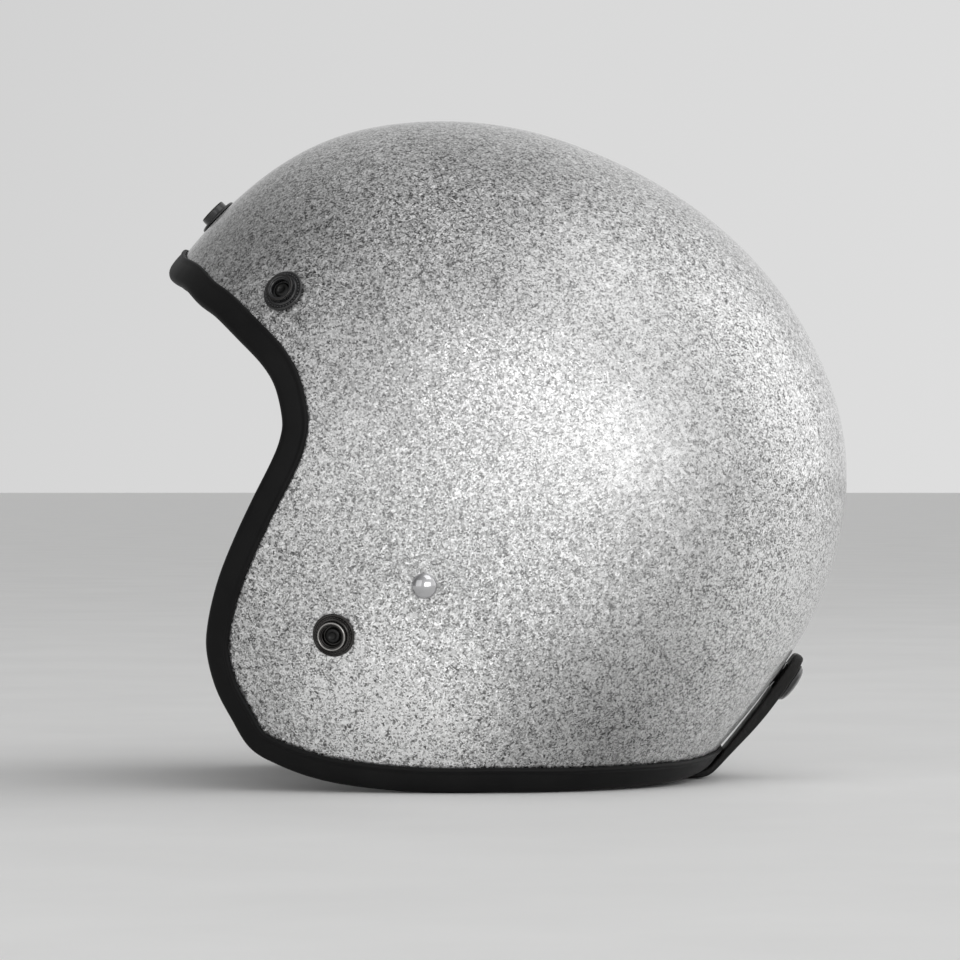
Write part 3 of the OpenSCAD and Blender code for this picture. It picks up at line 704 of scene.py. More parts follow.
# lines of stitches on the quilt
ld = lin_loop - C
ld_th = np.arccos(ld[:, 2] / np.linalg.norm(ld, axis=1))
ld_ps = np.arctan2(ld[:, 1], ld[:, 0])
o = np.argsort(ld_ps)
pile = Pile()
for fam in (0, 1):
    for k in range(-6, 7):
        for s in np.arange(-190, 190, 4.6):
            a, b = k * QP, s + 1e-3
            a, b = (a, b) if fam == 0 else (b, a)
            u, v_ = (a + b) / math.sqrt(2), (a - b) / math.sqrt(2)
            th, ps = math.hypot(u, v_) / 84, math.atan2(v_, u)
            if th > np.interp(ps, ld_ps[o], ld_th[o], period=2 * np.pi) - 0.07:
                continue
            du = (0.01, 0.0) if fam == 1 else (0.0, 0.01)
            pts = []
            for e in (0, 1):
                aa, bb = a + (du[0] * 100 * e), b + (du[1] * 100 * e)
                uu, vv = (aa + bb) / math.sqrt(2), (aa - bb) / math.sqrt(2)
                tt, pp = math.hypot(uu, vv) / 84, math.atan2(vv, uu)
                q = hit(np.array([math.sin(tt) * math.cos(pp), math.sin(tt) * math.sin(pp), math.cos(tt)]))
                n_ = out_n(q[None])[0]
                pts.append((q - n_ * (base_in - 0.65), n_))
            pile.stitch(pts[0][0], pts[1][0] - pts[0][0], -pts[0][1], 3.3, 0.36)
done(pile.make("quilt_stitches", THREAD), "helmet")

# piping round the edge of the comfort liner
L = lin_loop
n_ = out_n(L)
vb = frame_b(L)
V, F = tube(on_form(L + vb * 0.6) - n_ * 30.6, 1.5, 10, True)
done(make("liner_piping", V, F, SKAI), "helmet")

# ------------------------------------------------------------------ brow band
k = np.linspace(-15.6, 15.6, 180) / 84 * NR
L = np.stack([np.interp(k, np.arange(-NR, 2 * NR), np.tile(rim[:, c], 3)) for c in range(3)], 1)
vb = frame_b(L, False)
P = chaikin([[8.4, -4.4], [9.8, -4.6], [10.7, -9], [10.8, -20], [10.4, -25.4], [9.4, -27.2], [8.0, -26.4], [6.8, -20], [7.0, -14], [7.4, -8]], 2)
taper = np.clip((15.6 - np.abs(np.linspace(-15.6, 15.6, 180))) / 0.8, 0.02, 1) ** 0.5
ctr = np.array([9.0, -15.5])
S = [np.stack([beside(L[i][None], vb[i][None], *(ctr + (q - ctr) * [taper[i], 0.75 + 0.25 * taper[i]]))[0] for q in P]) for i in range(len(L))]
V, F = swept(np.array(S)[:, ::-1])
bb = make("brow_band_pad", V, F, SKAI)
done(bb, "helmet", ["brow_band"])
pile = Pile()
for i in range(4, 176, 1):
    f = i + 0.5
    a = L[i]
    q = beside(a[None], vb[i][None], 6.72, -22.0)[0]
    q2 = beside(L[i + 1][None], vb[i + 1][None], 6.72, -22.0)[0]
    if i % 2 == 0:
        pile.stitch((q + q2) / 2, q2 - q, -vb[i], 3.0, 0.34)
done(pile.make("brow_band_stitches", THREAD), "helmet")

# ------------------------------------------------------------------ padded pieces
PIV = np.array([0, -31.0, 76.0])
DROP = np.array([[0, 98.6], [22, 98.2], [30, 96.4], [45, 91], [52, 88], [54, 82.2], [58, 79], [62, 77.4], [66, 69.4], [72, 64], [80, 57], [88, 51]])
STOW = math.radians(48)


def swell(o, voxel, cap, pressure=4.0, frames=20, quick_iter=True):
    """Cloth simulation of a stuffed cover, applied to the mesh, with how far a point may move held to cap millimetres."""
    sc = bpy.context.scene
    r = o.modifiers.new("remesh", "REMESH")
    r.mode = "VOXEL"
    r.voxel_size = voxel * 0.001
    dg = bpy.context.evaluated_depsgraph_get()
    me = bpy.data.meshes.new_from_object(o.evaluated_get(dg))
    o.modifiers.clear()
    o.data = me
    rest = np.zeros(len(me.vertices) * 3)
    me.vertices.foreach_get("co", rest)
    rest = rest.reshape(-1, 3)
    c = o.modifiers.new("cloth", "CLOTH")
    s = c.settings
    s.quality = 5
    s.mass = 0.3
    s.tension_stiffness = 12
    s.compression_stiffness = 12
    s.shear_stiffness = 6
    s.bending_stiffness = 0.6
    s.use_pressure = True
    s.uniform_pressure_force = pressure
    s.effector_weights.gravity = 0
    c.collision_settings.use_collision = False
    c.collision_settings.use_self_collision = False
    c.point_cache.frame_start, c.point_cache.frame_end = 1, frames
    for f in range(1, frames + 1):
        sc.frame_set(f)
    dg = bpy.context.evaluated_depsgraph_get()
    ev = o.evaluated_get(dg)
    co = np.zeros(len(ev.data.vertices) * 3)
    ev.data.vertices.foreach_get("co", co)
    co = co.reshape(-1, 3)
    o.modifiers.clear()
    sc.frame_set(1)
    mv = co - rest
    L_ = np.linalg.norm(mv, axis=1, keepdims=True)
    k_ = np.minimum(1, cap * 0.001 / np.maximum(L_, 1e-9))
    co = rest + mv * k_
    me.vertices.foreach_set("co", co.ravel())
    # even out the voxel steps
    bm = bmesh.new()
    bm.from_mesh(me)
    for _ in range(3):
        bmesh.ops.smooth_vert(bm, verts=bm.verts, factor=0.5, use_axis_x=True, use_axis_y=True, use_axis_z=True)
    bm.to_mesh(me)
    bm.free()
    s = o.modifiers.new("sub", "SUBSURF")
    s.levels = s.render_levels = 1
    dg = bpy.context.evaluated_depsgraph_get()
    me2 = bpy.data.meshes.new_from_object(o.evaluated_get(dg))
    o.modifiers.clear()
    o.data = me2
    me2.shade_smooth()
    return o


def verts_of(o):
    a = np.zeros(len(o.data.vertices) * 3)
    o.data.vertices.foreach_get("co", a)
    return a.reshape(-1, 3) * 1000


def normals_of(o):
    a = np.zeros(len(o.data.vertices) * 3)
    o.data.vertices.foreach_get("normal", a)
    return a.reshape(-1, 3)


def put_verts(o, V):
    o.data.vertices.foreach_set("co", (V * 0.001).ravel())
    o.data.update()


def line_dist(P, L):
    """Distance of 2-D points P from the polyline L."""
    best = np.full(len(P), 1e9)
    for a, b in zip(L[:-1], L[1:]):
        ab = b - a
        s = np.clip(((P - a) @ ab) / (ab @ ab), 0, 1)
        best = np.minimum(best, np.linalg.norm(P - a - s[:, None] * ab, axis=1))
    return best


CHEEK = [[-64, 104], [-78, 101], [-82, 88], [-89, 72], [-93, 56], [-90, 40], [-80, 27], [-62, 19],
         [-38, 15.5], [-14, 16], [4, 24], [14, 42], [15, 62], [8, 80], [-6, 89], [-30, 92], [-48, 98]]
cl = closed(CHEEK, 64)
mid2 = cl.mean(0)
cin = mid2 + (cl - mid2) * 0.95
loop3 = np.stack([side_x(cin[:, 0], cin[:, 1]), cin[:, 0], cin[:, 1]], 1)
pole = np.array([108.0, -36, 58]) - C
pole /= np.linalg.norm(pole)
tc = np.r_[0, 0.03, 0.08, 0.15, 0.25, np.linspace(0.35, 0.95, 8)]


def clampx(lim):
    def fn(Q, N, P):
        r = np.hypot(Q[..., 1] - PIV[1], Q[..., 2] - PIV[2])
        m_ = np.interp(r, DROP[:, 0], DROP[:, 1]) - lim
        Q = Q.copy()
        Q[..., 0] = np.minimum(Q[..., 0], m_)
        return Q
    return fn


V, F, _ = layer(loop3, pole, tc, [17, 15.2], [25, 36.4], 0.5, inner_fn=clampx(8.6), outer_fn=clampx(4.4))
cheek = swell(make("cheek_pad_L", V, F, KNIT), 4.0, 3.0, 4.0, 16)
V = verts_of(cheek)
rr = np.hypot(V[:, 1] - PIV[1], V[:, 2] - PIV[2])
lim = np.interp(rr, DROP[:, 0], DROP[:, 1]) - 2.9
V[:, 0] = np.minimum(V[:, 0], lim)
# sewn panel lines on the side towards the face
seams = [smooth([[-84, 70], [-60, 66], [-36, 60], [-10, 50], [10, 40]], 30), smooth([[-86, 46], [-62, 42], [-38, 38], [-14, 30], [0, 24]], 30)]
cheek_in = mid2 + (cl - mid2) * 0.80
ringline = np.vstack([cheek_in, cheek_in[:1]])
N_ = normals_of(cheek)
face = np.clip((-N_[:, 0] - 0.15) / 0.4, 0, 1)
dd = np.minimum(np.minimum(line_dist(V[:, 1:], seams[0]), line_dist(V[:, 1:], seams[1])), line_dist(V[:, 1:], ringline))
V[:, 0] += face * 2.0 * np.exp(-(dd / 2.4) ** 2)
put_verts(cheek, V)


def on_inside(bvh, y, z):
    loc, nor, _, _ = bvh.ray_cast(Vector((0.02, y * 0.001, z * 0.001)), Vector((1, 0, 0)))
    return None if loc is None else (np.array(loc) * 1000, np.array(nor))


def seam_run(pile, bvh, line, pitch=4.4, ring=False):
    Q = even(line, max(4, int(np.linalg.norm(np.diff(line, axis=0), axis=1).sum() / pitch)), False)
    pts = [on_inside(bvh, *q) for q in Q]
    for a, b in zip(pts[:-1], pts[1:]):
        if a is None or b is None or np.linalg.norm(b[0] - a[0]) > 8:
            continue
        nn = a[1] if a[1][0] < 0 else -a[1]
        pile.stitch((a[0] + b[0]) / 2, b[0] - a[0], nn, 3.1, 0.36)


bvh = BVHTree.FromObject(cheek, bpy.context.evaluated_depsgraph_get())
pile = Pile()
for s_ in seams:
    seam_run(pile, bvh, s_)
seam_run(pile, bvh, ringline)
cs = pile.make("cheek_stitches_L", THREAD)
# piping round the outline of the pad
po = mid2 + (cl - mid2) * 0.93
pp = []
for q in np.vstack([even(po, 120, True)]):
    h_ = on_inside(bvh, *q)
    if h_ is not None:
        pp.append(h_[0] - np.array([0.2, 0, 0]))
V, F = tube(even(np.array(pp), 160, True), 1.25, 8, True)
cp = make("cheek_piping_L", V, F, SKAI)
done(cheek, "helmet", ["cheek_pad_left"])
done(cs, "helmet")
done(cp, "helmet")


def mirrored(o, name):
    me = o.data.copy()
    me.name = name
    me.transform(Matrix.Scale(-1, 4, (1, 0, 0)))
    me.flip_normals()
    m_ = bpy.data.objects.new(name, me)
    COL.objects.link(m_)
    return m_


cr_ = mirrored(cheek, "cheek_pad_R")
done(cr_, "helmet", ["cheek_pad_right"])
done(mirrored(cs, "cheek_stitches_R"), "helmet")
done(mirrored(cp, "cheek_piping_R"), "helmet")

# neck roll
NECK = np.array([[76, 56, 21.5], [68, 65, 21.7], [56, 73, 22], [40, 81, 23], [20, 86, 24], [0, 88, 24.5]], float)
full = np.vstack([NECK, NECK[-2::-1] * [-1, 1, 1]])
L = even(on_form(smooth(full, 120)), 90)
vb = frame_b(L, False)
a = np.arange(24) * 2 * np.pi / 24
S = []
for i in range(len(L)):
    e = 0.35 + 0.65 * math.sqrt(max(0.0, math.sin(math.pi * (i + 1.5) / 92)))
    S.append(np.stack([beside(L[i][None], vb[i][None], 9.7 * e * math.cos(x), -19 + 7.3 * e * math.sin(x))[0] for x in a]))
V, F = swept(S)
roll = swell(make("neck_roll_pad", V, F, SKAI), 4.0, 1.5, 3.5, 14)
V = verts_of(roll)
N_ = normals_of(roll)
# gathered creases across the roll, of one depth all round it
ang = np.degrees(np.arctan2(V[:, 0], V[:, 1] - 20))
crease = sum(a_ * np.exp(-((np.sin(np.radians((ang - c_) * 6 + 4 * np.sin(V[:, 2] * 0.15 + c_))) / w_) ** 2)) for a_, c_, w_ in ((0.55, 3, 0.35), (0.35, 17, 0.25)))
V -= N_ * crease[:, None]
put_verts(roll, V)
done(roll, "helmet", ["neck_roll"])
bvh = BVHTree.FromObject(roll, bpy.context.evaluated_depsgraph_get())
pile = Pile()
prev = None
for i in range(4, 87):
    for part in (0.0, 0.5):
        p_ = L[i] * (1 - part) + L[min(i + 1, 89)] * part
        n0 = out_n(p_[None])[0]
        v0 = vb[i]
        o_ = beside(p_[None], v0[None], -4, -36)[0]
        loc, nor, _, _ = bvh.ray_cast(Vector(o_ * 0.001), Vector(n0))
        if loc is None:
            prev = None
            continue
        q = np.array(loc) * 1000
        if prev is not None and part == 0.5:
            pile.stitch((q + prev) / 2, q - prev, np.array(nor), 2.9, 0.36)
        prev = q
done(pile.make("neck_roll_stitches", THREAD), "helmet")

# ------------------------------------------------------------------ snap studs
BROW_MID = on_form(np.array([0, -111.8, 215.5]))
BROW_SIDE = np.array([float(side_x(-83, 183.5)), -83, 183.5])
LOW_SIDE = np.array([float(side_x(-64, 58)), -64, 58])
KEEP = on_form(np.array([0, 103.0, 40.0]))
KEEP_RIV = on_form(np.array([0, 88.6, 21.4]))
flip = np.array([-1, 1, 1])


def stud_parts(p, body, ringm, tag, nm):
    pl = stand(p)
    R = 7.9
    pr = fillet([[2.0, 0.02], [R - 0.5, 0.02], [R, 0.35], [R, 0.75], [R - 0.35, 1.12], [R - 0.8, 1.2], [R - 1.05, 1.02], [5.9, 1.0], [5.55, 1.15],
                 [5.3, 1.5], [5.3, 3.3], [5.22, 3.55], [5.0, 3.78], [4.7, 3.88], [4.35, 3.84], [4.05, 3.66], [3.92, 3.3], [3.6, 3.1], [3.45, 2.6], [3.45, 1.2], [2.0, 1.1]], 0.14, 3)
    V1, F1 = lathe(pr, 96, pl)
    o1 = make(f"{tag}_stud_{nm}", V1, F1, body)
    # dotted knurl on the flange
    pile = Pile()
    for k_ in range(34):
        x = 2 * math.pi * k_ / 34
        c_ = np.array([6.55 * math.cos(x), 6.55 * math.sin(x), 1.0])
        V2, F2 = lathe([[0.46, -0.1], [0.44, 0.08], [0.34, 0.24], [0.18, 0.32], [0, 0.35]], 10)
        pile.add(pl(V2 + c_), F2)
    o2 = pile.make(f"{tag}_knurl_{nm}", body)
    # rolled lip that catches the light
    x = np.arange(96) * 2 * np.pi / 96
    Lr = pl(np.stack([4.92 * np.cos(x), 4.92 * np.sin(x), np.full(96, 3.62)], 1))
    V3, F3 = tube(Lr, 0.33, 10, True)
    o3 = make(f"{tag}_lip_{nm}", V3, F3, ringm)
    return [o1, o2, o3]


def post_part(p, tag, nm, mat, top=1.2):
    pr = fillet([[0, -4.15], [4.2, -4.15], [4.5, -3.9], [4.5, -3.6], [1.8, -3.6], [1.8, top + 0.05], [2.9, top + 0.05], [2.95, top + 0.45], [2.4, top + 0.85],
                 [1.6, top + 0.95], [1.15, top + 0.6], [0.6, top + 0.42], [0, top + 0.4]], 0.1, 2)
    V1, F1 = lathe(pr, 48, stand(p))
    return make(f"{tag}_post_{nm}", V1, F1, mat)


studs = [("brow", "centre", BROW_MID), ("brow", "left", BROW_SIDE), ("brow", "right", BROW_SIDE * flip), ("side", "left", LOW_SIDE), ("side", "right", LOW_SIDE * flip)]
for tag, nm, p in studs:
    parts = stud_parts(p, ENAMEL if tag == "brow" else NICKEL, NICKEL if tag == "brow" else RING, tag, nm)
    for o_ in parts:
        done(o_, "helmet")
    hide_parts(f"{tag}_snap_studs")
    pp_ = done(post_part(p, tag, nm, DARKSTEEL), "helmet")
    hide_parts(f"{tag}_snap_posts")

# ------------------------------------------------------------------ strap rivets
X_SEAT = 109.1
dome = [[4.8, X_SEAT], [4.85, X_SEAT + 0.35], [4.72, X_SEAT + 0.75]] + [[4.72 * math.cos(a_) ** 1.0, X_SEAT + 0.75 + 2.95 * math.sin(a_)] for a_ in np.linspace(0.12, math.pi / 2, 14)]
dome[-1][0] = 0
for s_, nm in ((1, "left"), (-1, "right")):
    pr = [[0, 96.1], [3.6, 96.1], [4.2, 96.3], [4.4, 96.7], [4.4, 97.8], [2.5, 97.8], [2.5, X_SEAT], [4.7, X_SEAT]] + dome
    V, F = lathe(pr, 64, along_x(PIV[1], PIV[2], s_))
    r_ = done(make(f"strap_rivet_{nm}", V, F, CHROME), "helmet", ["strap_rivets"])

# ------------------------------------------------------------------ goggle strap keeper
KW = 22.0


def prof(phi, h):
    p = on_form(np.array([0, C[1] - 100 * math.cos(math.radians(phi)), C[2] + 100 * math.sin(math.radians(phi))]))
    n0 = out_n(p[None])[0]
    return np.array([p[1] + n0[1] * h, p[2] + n0[2] * h])


def strap_yz(line, thick, width, name, mat, tip=None, n=150):
    """Leather strap along a line in the side view, with burnished rounded edges; tip narrows its end in plan."""
    A = even(smooth(line, 200), n)
    th = np.interp(np.linspace(0, 1, n), np.linspace(0, 1, len(thick)), thick)
    s_ = np.r_[0, np.cumsum(np.linalg.norm(np.diff(A, axis=0), axis=1))]
    T = np.gradient(A, axis=0)
    T /= np.linalg.norm(T, axis=1, keepdims=True)
    Nn = np.stack([-T[:, 1], T[:, 0]], 1)
    S = []
    for i in range(n):
        hw = width / 2
        tt = th[i]
        if tip is not None:
            e = (s_[-1] - s_[i]) / tip
            if e < 1:
                hw = width / 2 - 6.5 * (1 - math.sqrt(max(0, 1 - (1 - e) ** 2)))
            e2 = (s_[-1] - s_[i]) / 1.6
            if e2 < 1:
                tt = th[i] * (0.25 + 0.75 * math.sqrt(max(0, 1 - (1 - e2) ** 2)))
        h = tt / 2
        r = min(1.0, h * 0.8)
        sec = []
        for cx, cz, a0 in ((hw - r, h - r, 0), (-hw + r, h - r, 90), (-hw + r, -h + r, 180), (hw - r, -h + r, 270)):
            for a_ in np.linspace(a0, a0 + 90, 5):
                sec.append((cx + r * math.cos(math.radians(a_)), cz + r * math.sin(math.radians(a_))))
            if a0 == 0:
                for f_ in np.linspace(0.08, 0.92, 9):
                    xx = (hw - r) * (1 - 2 * f_)
                    g_ = math.exp(-((abs(xx) - (hw - 2.6)) / 0.5) ** 2) * 0.22
                    sec.append((xx, h - g_ + 0.12 * math.cos(math.pi * xx / width)))
        S.append([[x, A[i, 0] + Nn[i, 0] * z, A[i, 1] + Nn[i, 1] * z] for x, z in sec])
    V, F = swept(S)
    return make(name, V, F, mat), A, Nn, th


# outside part, from under the nape round the fold and up to the tip
line = [(66.4, 2.9), (68.3, 1.9), (70.4, 1.62), (73, 1.65), (75.6, 2.3), (78.1, 4.0)] + [tuple(prof(a_, h_)) for a_, h_ in
        ((237.2, 3.6), (234, 3.65), (230, 3.8), (226, 3.85), (222, 3.7), (219, 3.65), (216.4, 3.6), (214.6, 3.5))]
line = [(y, z) for y, z in line]
kstrap, KA, KN, KT = strap_yz(line, [2.7, 2.8, 2.7, 2.9, 3.4, 4.0, 4.3, 4.4, 4.4, 4.2, 3.6], KW, "keeper_leather_strap", LEATHER, tip=7.0, n=170)
cen = np.array([0, *FOLD]) if False else np.array([0, 78.1, 4.0])
# the outer side must face away from the shell
if (KN[100] @ (KA[100] - np.array([C[1], C[2]]))) < 0:
    KN_out = -KN
else:
    KN_out = KN
pile = Pile()
for sx in (-1, 1):
    sl_ = np.r_[0, np.cumsum(np.linalg.norm(np.diff(KA, axis=0), axis=1))]
    for s0 in np.arange(4, sl_[-1] - 5.0, 3.6):
        i = int(np.searchsorted(sl_, s0))
        i2 = min(len(KA) - 1, i + 2)
        p3 = np.array([sx * (KW / 2 - 2.6), *(KA[i] + KN_out[i] * (KT[i] / 2 - 0.02))])
        q3 = np.array([sx * (KW / 2 - 2.6), *(KA[i2] + KN_out[i2] * (KT[i2] / 2 - 0.02))])
        pile.stitch(p3 - np.array([0, *KN_out[i]]) * 0.30, q3 - p3, np.array([0, *KN_out[i]]), 2.6, 0.26)
kst = pile.make("keeper_stitches", THREAD)
for o_ in (kstrap, kst):
    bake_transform(o_)
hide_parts("keeper_strap")
# inside part, from the rivet down to the fold under the nape
line = [tuple(prof(227.6, -5.55)), tuple(prof(230, -5.7)), tuple(prof(233, -6.0)), tuple(prof(236, -7.4)), tuple(prof(238.6, -7.5)), (66.5, 9.5), (65.9, 6.4), (66.1, 4.2), (67.3, 2.5), (69.6, 1.75), (72, 1.6)]
kroot, _, _, _ = strap_yz(line, [2.5, 2.6, 2.7, 2.7, 2.6, 2.6], KW, "keeper_leather_root", LEATHER, n=110)
done(kroot, "helmet", ["keeper_root"])

pl = stand(KEEP)
V, F = lathe(fillet([[2, 0.05], [5.7, 0.05], [6, 0.4], [5.6, 0.75], [2.9, 0.8], [2.7, 1.4], [3, 2.4], [3, 3], [2.6, 3.4], [2.35, 3.4], [2.35, 0.7], [2, 0.7]], 0.12, 2), 64, pl)
done(make("keeper_stud_turned", V, F, ENAMEL), "helmet", ["keeper_stud"])
V, F = lathe(fillet([[3.4, 1.1], [5.6, 1.1], [6, 1.5], [6, 5.9], [0, 5.9]], 0.15, 2), 64, pl)
done(make("keeper_socket_turned", V, F, ENAMEL), "goggle_keeper", ["keeper_snap_socket"])
cap = [[0, 5.95], [6.6, 5.95], [7.5, 6.0], [7.85, 6.2], [7.9, 6.5], [7.7, 6.85], [7.35, 7.1]] + [[7.35 * math.cos(a_), 7.1 + 2.0 * math.sin(a_)] for a_ in np.linspace(0.15, math.pi / 2, 14)]
cap[-1][0] = 0
V, F = lathe(cap, 96, pl)
done(make("keeper_cap_domed", V, F, ENAMEL), "goggle_keeper", ["keeper_snap_cap"])

# ------------------------------------------------------------------ chin strap
def hung(P):
    """From the plane frame of the strap hanging straight down (x, y across, depth z) to its stored place."""
    P = np.asarray(P, float)
    y = P[..., 1] * math.cos(STOW) - P[..., 2] * math.sin(STOW)
    z = P[..., 1] * math.sin(STOW) + P[..., 2] * math.cos(STOW)
    return np.stack([P[..., 0], y + PIV[1], z + PIV[2]], -1)


def hung_dir(v_):
    v_ = np.asarray(v_, float)
    return np.array([v_[0], v_[1] * math.cos(STOW) - v_[2] * math.sin(STOW), v_[1] * math.sin(STOW) + v_[2] * math.cos(STOW)])


RG = np.array([82.6, -62.6])
RA = 43


def rg(s_, u_):
    a_ = math.radians(RA + 4)
    return RG + s_ * np.array([-math.cos(a_), -math.sin(a_)]) + u_ * np.array([math.sin(a_), -math.cos(a_)])


def web_strip(line, thick, name, width=22.0, n=None, start_round=False, end_round=False):
    A = np.asarray(line, float)
    ln = np.linalg.norm(np.diff(A, axis=0), axis=1).sum()
    n = n or max(24, int(ln / 1.6))
    A = even(A, n)
    th = np.interp(np.linspace(0, 1, n), np.linspace(0, 1, len(thick)), thick) if np.ndim(thick) else np.full(n, thick)
    T = np.gradient(A, axis=0)
    T /= np.linalg.norm(T, axis=1, keepdims=True)
    Nn = np.stack([-T[:, 1], T[:, 0]], 1)
    ss = np.r_[0, np.cumsum(np.linalg.norm(np.diff(A, axis=0), axis=1))]
    S, UV = [], []
    for i in range(n):
        h = th[i] / 2
        hw = width / 2
        if end_round:
            e = (ss[-1] - ss[i]) / 8
            if e < 1:
                hw = width / 2 - 5 * (1 - math.sqrt(max(0, 1 - (1 - e) ** 2)))
        sec, us = [], []
        prof_ = []
        for f_ in np.linspace(-1, 1, 15):
            e = abs(f_)
            hh = h * (0.9 + 0.1 * (1 if 0.86 < e < 0.97 else 0)) if e < 0.985 else h * 0.62
            prof_.append((f_ * hw, hh))
        for yy, hh in prof_:
            sec.append((yy, hh))
            us.append(yy)
        for yy, hh in prof_[::-1]:
            sec.append((yy, -hh))
            us.append(yy + 0.0)
        S.append([[A[i, 0] + Nn[i, 0] * z, y, A[i, 1] + Nn[i, 1] * z] for y, z in sec])
        UV += [(ss[i] * 0.001, u_ * 0.001 + 0.02) for u_ in us]
    S = hung(np.array(S))
    V, F = swept(S)
    UV += [UV[0], UV[-1]]
    o_ = make(name, V, F, WEB, uv=UV)
    # the wrong way round shows as dark; turn the skin outwards
    bm = bmesh.new()
    bm.from_mesh(o_.data)
    bmesh.ops.recalc_face_normals(bm, faces=bm.faces)
    bm.to_mesh(o_.data)
    bm.free()
    return o_, A, Nn, th


def box_stitch(pile, A, Nn, th, i0, i1, side, width=22.0, cross=True):
    """Box and cross of stitches on a strip between stations i0 and i1, on one side of it."""
    def at(i, y):
        i = np.clip(i, 0, len(A) - 1)
        a_ = int(np.floor(i))
        b_ = min(len(A) - 1, a_ + 1)
        f_ = i - a_
        p_ = A[a_] * (1 - f_) + A[b_] * f_
        n0 = Nn[a_] * side
        q = p_ + n0 * (th[a_] / 2 * 0.92)
        return hung(np.array([q[0], y, q[1]])), hung_dir([n0[0], 0, n0[1]])
    hw = width / 2 - 3
    runs = [((i0, -hw), (i1, -hw)), ((i0, hw), (i1, hw)), ((i0, -hw), (i0, hw)), ((i1, -hw), (i1, hw))]
    if cross:
        runs += [((i0, -hw), (i1, hw)), ((i0, hw), (i1, -hw))]
    for (ia, ya), (ib, yb) in runs:
        pa, pb = at(ia, ya)[0], at(ib, yb)[0]
        m_ = max(2, int(np.linalg.norm(pb - pa) / 2.6))
        for k_ in range(m_):
            f0, f1 = k_ / m_, (k_ + 1) / m_
            a_, na = at(ia + (ib - ia) * f0, ya + (yb - ya) * f0)
            b_, nb = at(ia + (ib - ia) * f1, ya + (yb - ya) * f1)
            pile.stitch((a_ + b_) / 2, b_ - a_, na, 1.9, 0.27)


LONG = np.vstack([[[-97.2, -27.5], [-95.1, -34.5], [-91.2, -45], [-85, -60], [-78, -70], [-66.5, -80], [-51, -88], [-32, -93.5], [0, -96],
                   [26, -94.4], [42, -90], [54, -83.6]], [rg(*q) for q in [[26, -5], [20, -5.3], [14, -5.2], [10.6, -3.8], [9, -1], [9, 1.4],
                                                                       [10.6, 4], [14, 5.2], [20, 5.4], [25, 5.4]]]])
LINE = smooth(LONG, 260)
web_long, A1, N1, T1 = web_strip(LINE, 1.8, "webbing_long")
done(web_long, "chin_strap", ["chin_strap_long"])
SHORT = smooth([[97.2, -27.5], [95.3, -34], [92, -44], rg(-12, 0.2), rg(-7.5, 0)], 60)
web_short, A2, N2, T2 = web_strip(SHORT, 3.0, "webbing_short")
done(web_short, "chin_strap", ["chin_strap_short"])
# loops of webbing round the hangers' bars
for s_, nm in ((1, "left"), (-1, "right")):
    lp = smooth([[98.65 + x, -22.3 + z] for x, z in [[-1.3, -9.5], [-2.0, -5], [-1.95, -1], [-1.75, 1.6], [-0.3, 2.62], [1.15, 1.7], [1.42, -0.5], [0.95, -4], [-0.1, -8.5]]], 50)
    lp[:, 0] *= s_
    o_, _, _, _ = web_strip(lp, 1.3, f"webbing_loop_{nm}")
    done(o_, "chin_strap")
# loop round the bars of the two rings
lp = smooth([rg(-9.5, -1.0), rg(-6, -3.2), rg(-2, -4.3), rg(2, -4.2), rg(4.2, -2.3), rg(4.7, 0), rg(4.2, 2.3), rg(2, 4.2), rg(-2, 4.3), rg(-6, 3.2), rg(-9.5, 1.0)], 70)
o_, _, _, _ = web_strip(lp, 1.5, "webbing_ring_loop")
done(o_, "chin_strap")
pile = Pile()
n1 = len(A1)
for side in (1, -1):
    box_stitch(pile, A1, N1, T1, 4, 15, side)
    box_stitch(pile, A2, N2, T2, 4, len(A2) - 9, side)
done(pile.make("webbing_stitches", THREAD), "chin_strap")

# D rings of round wire
for nm, uc in (("inner", -1.65), ("outer", 1.65)):
    pts = []
    R_ = 13.5
    for q in [(-12.4, 0), (-6, 0), (0, 0), (6, 0), (12.4, 0)]:
        pts.append(q)
    pts += [(13.3, 0.5), (13.5, 1.4), (13.5, 4)]
    pts += [(R_ * math.cos(x), 6.3 + R_ * math.sin(x)) for x in np.linspace(0, math.pi, 25)]
    pts += [(-13.5, 4), (-13.5, 1.4), (-13.3, 0.5)]
    pts = even(np.array(pts), 110, True)
    ra = math.radians(RA)
    # local ring frame: s runs down the strap, u across the pair of rings
    P3 = []
    for y_, s0 in pts:
        x_ = RG[0] + s0 * -math.cos(ra + math.radians(4) * 0 + math.radians(0)) * 0 + 0
        P3.append((y_, s0))
    dirs_s = np.array([-math.sin(math.radians(90 - RA)), -math.cos(math.radians(90 - RA))])
    P3 = []
    # rotate([0, 90 + RA, 0]) of the CAD: local x -> (cos, -sin), local z -> (sin, cos)
    b_ = math.radians(90 + RA)
    ex, ez = np.array([math.cos(b_), -math.sin(b_)]), np.array([math.sin(b_), math.cos(b_)])
    for y_, s0 in pts:
        q = RG + ex * s0 + ez * uc
        P3.append([q[0], y_, q[1]])
    V, F = tube(hung(np.array(P3)), 1.42, 16, True)
    done(make(f"d_ring_wire_{nm}", V, F, STEEL), "chin_strap", [f"d_ring_{nm}"])

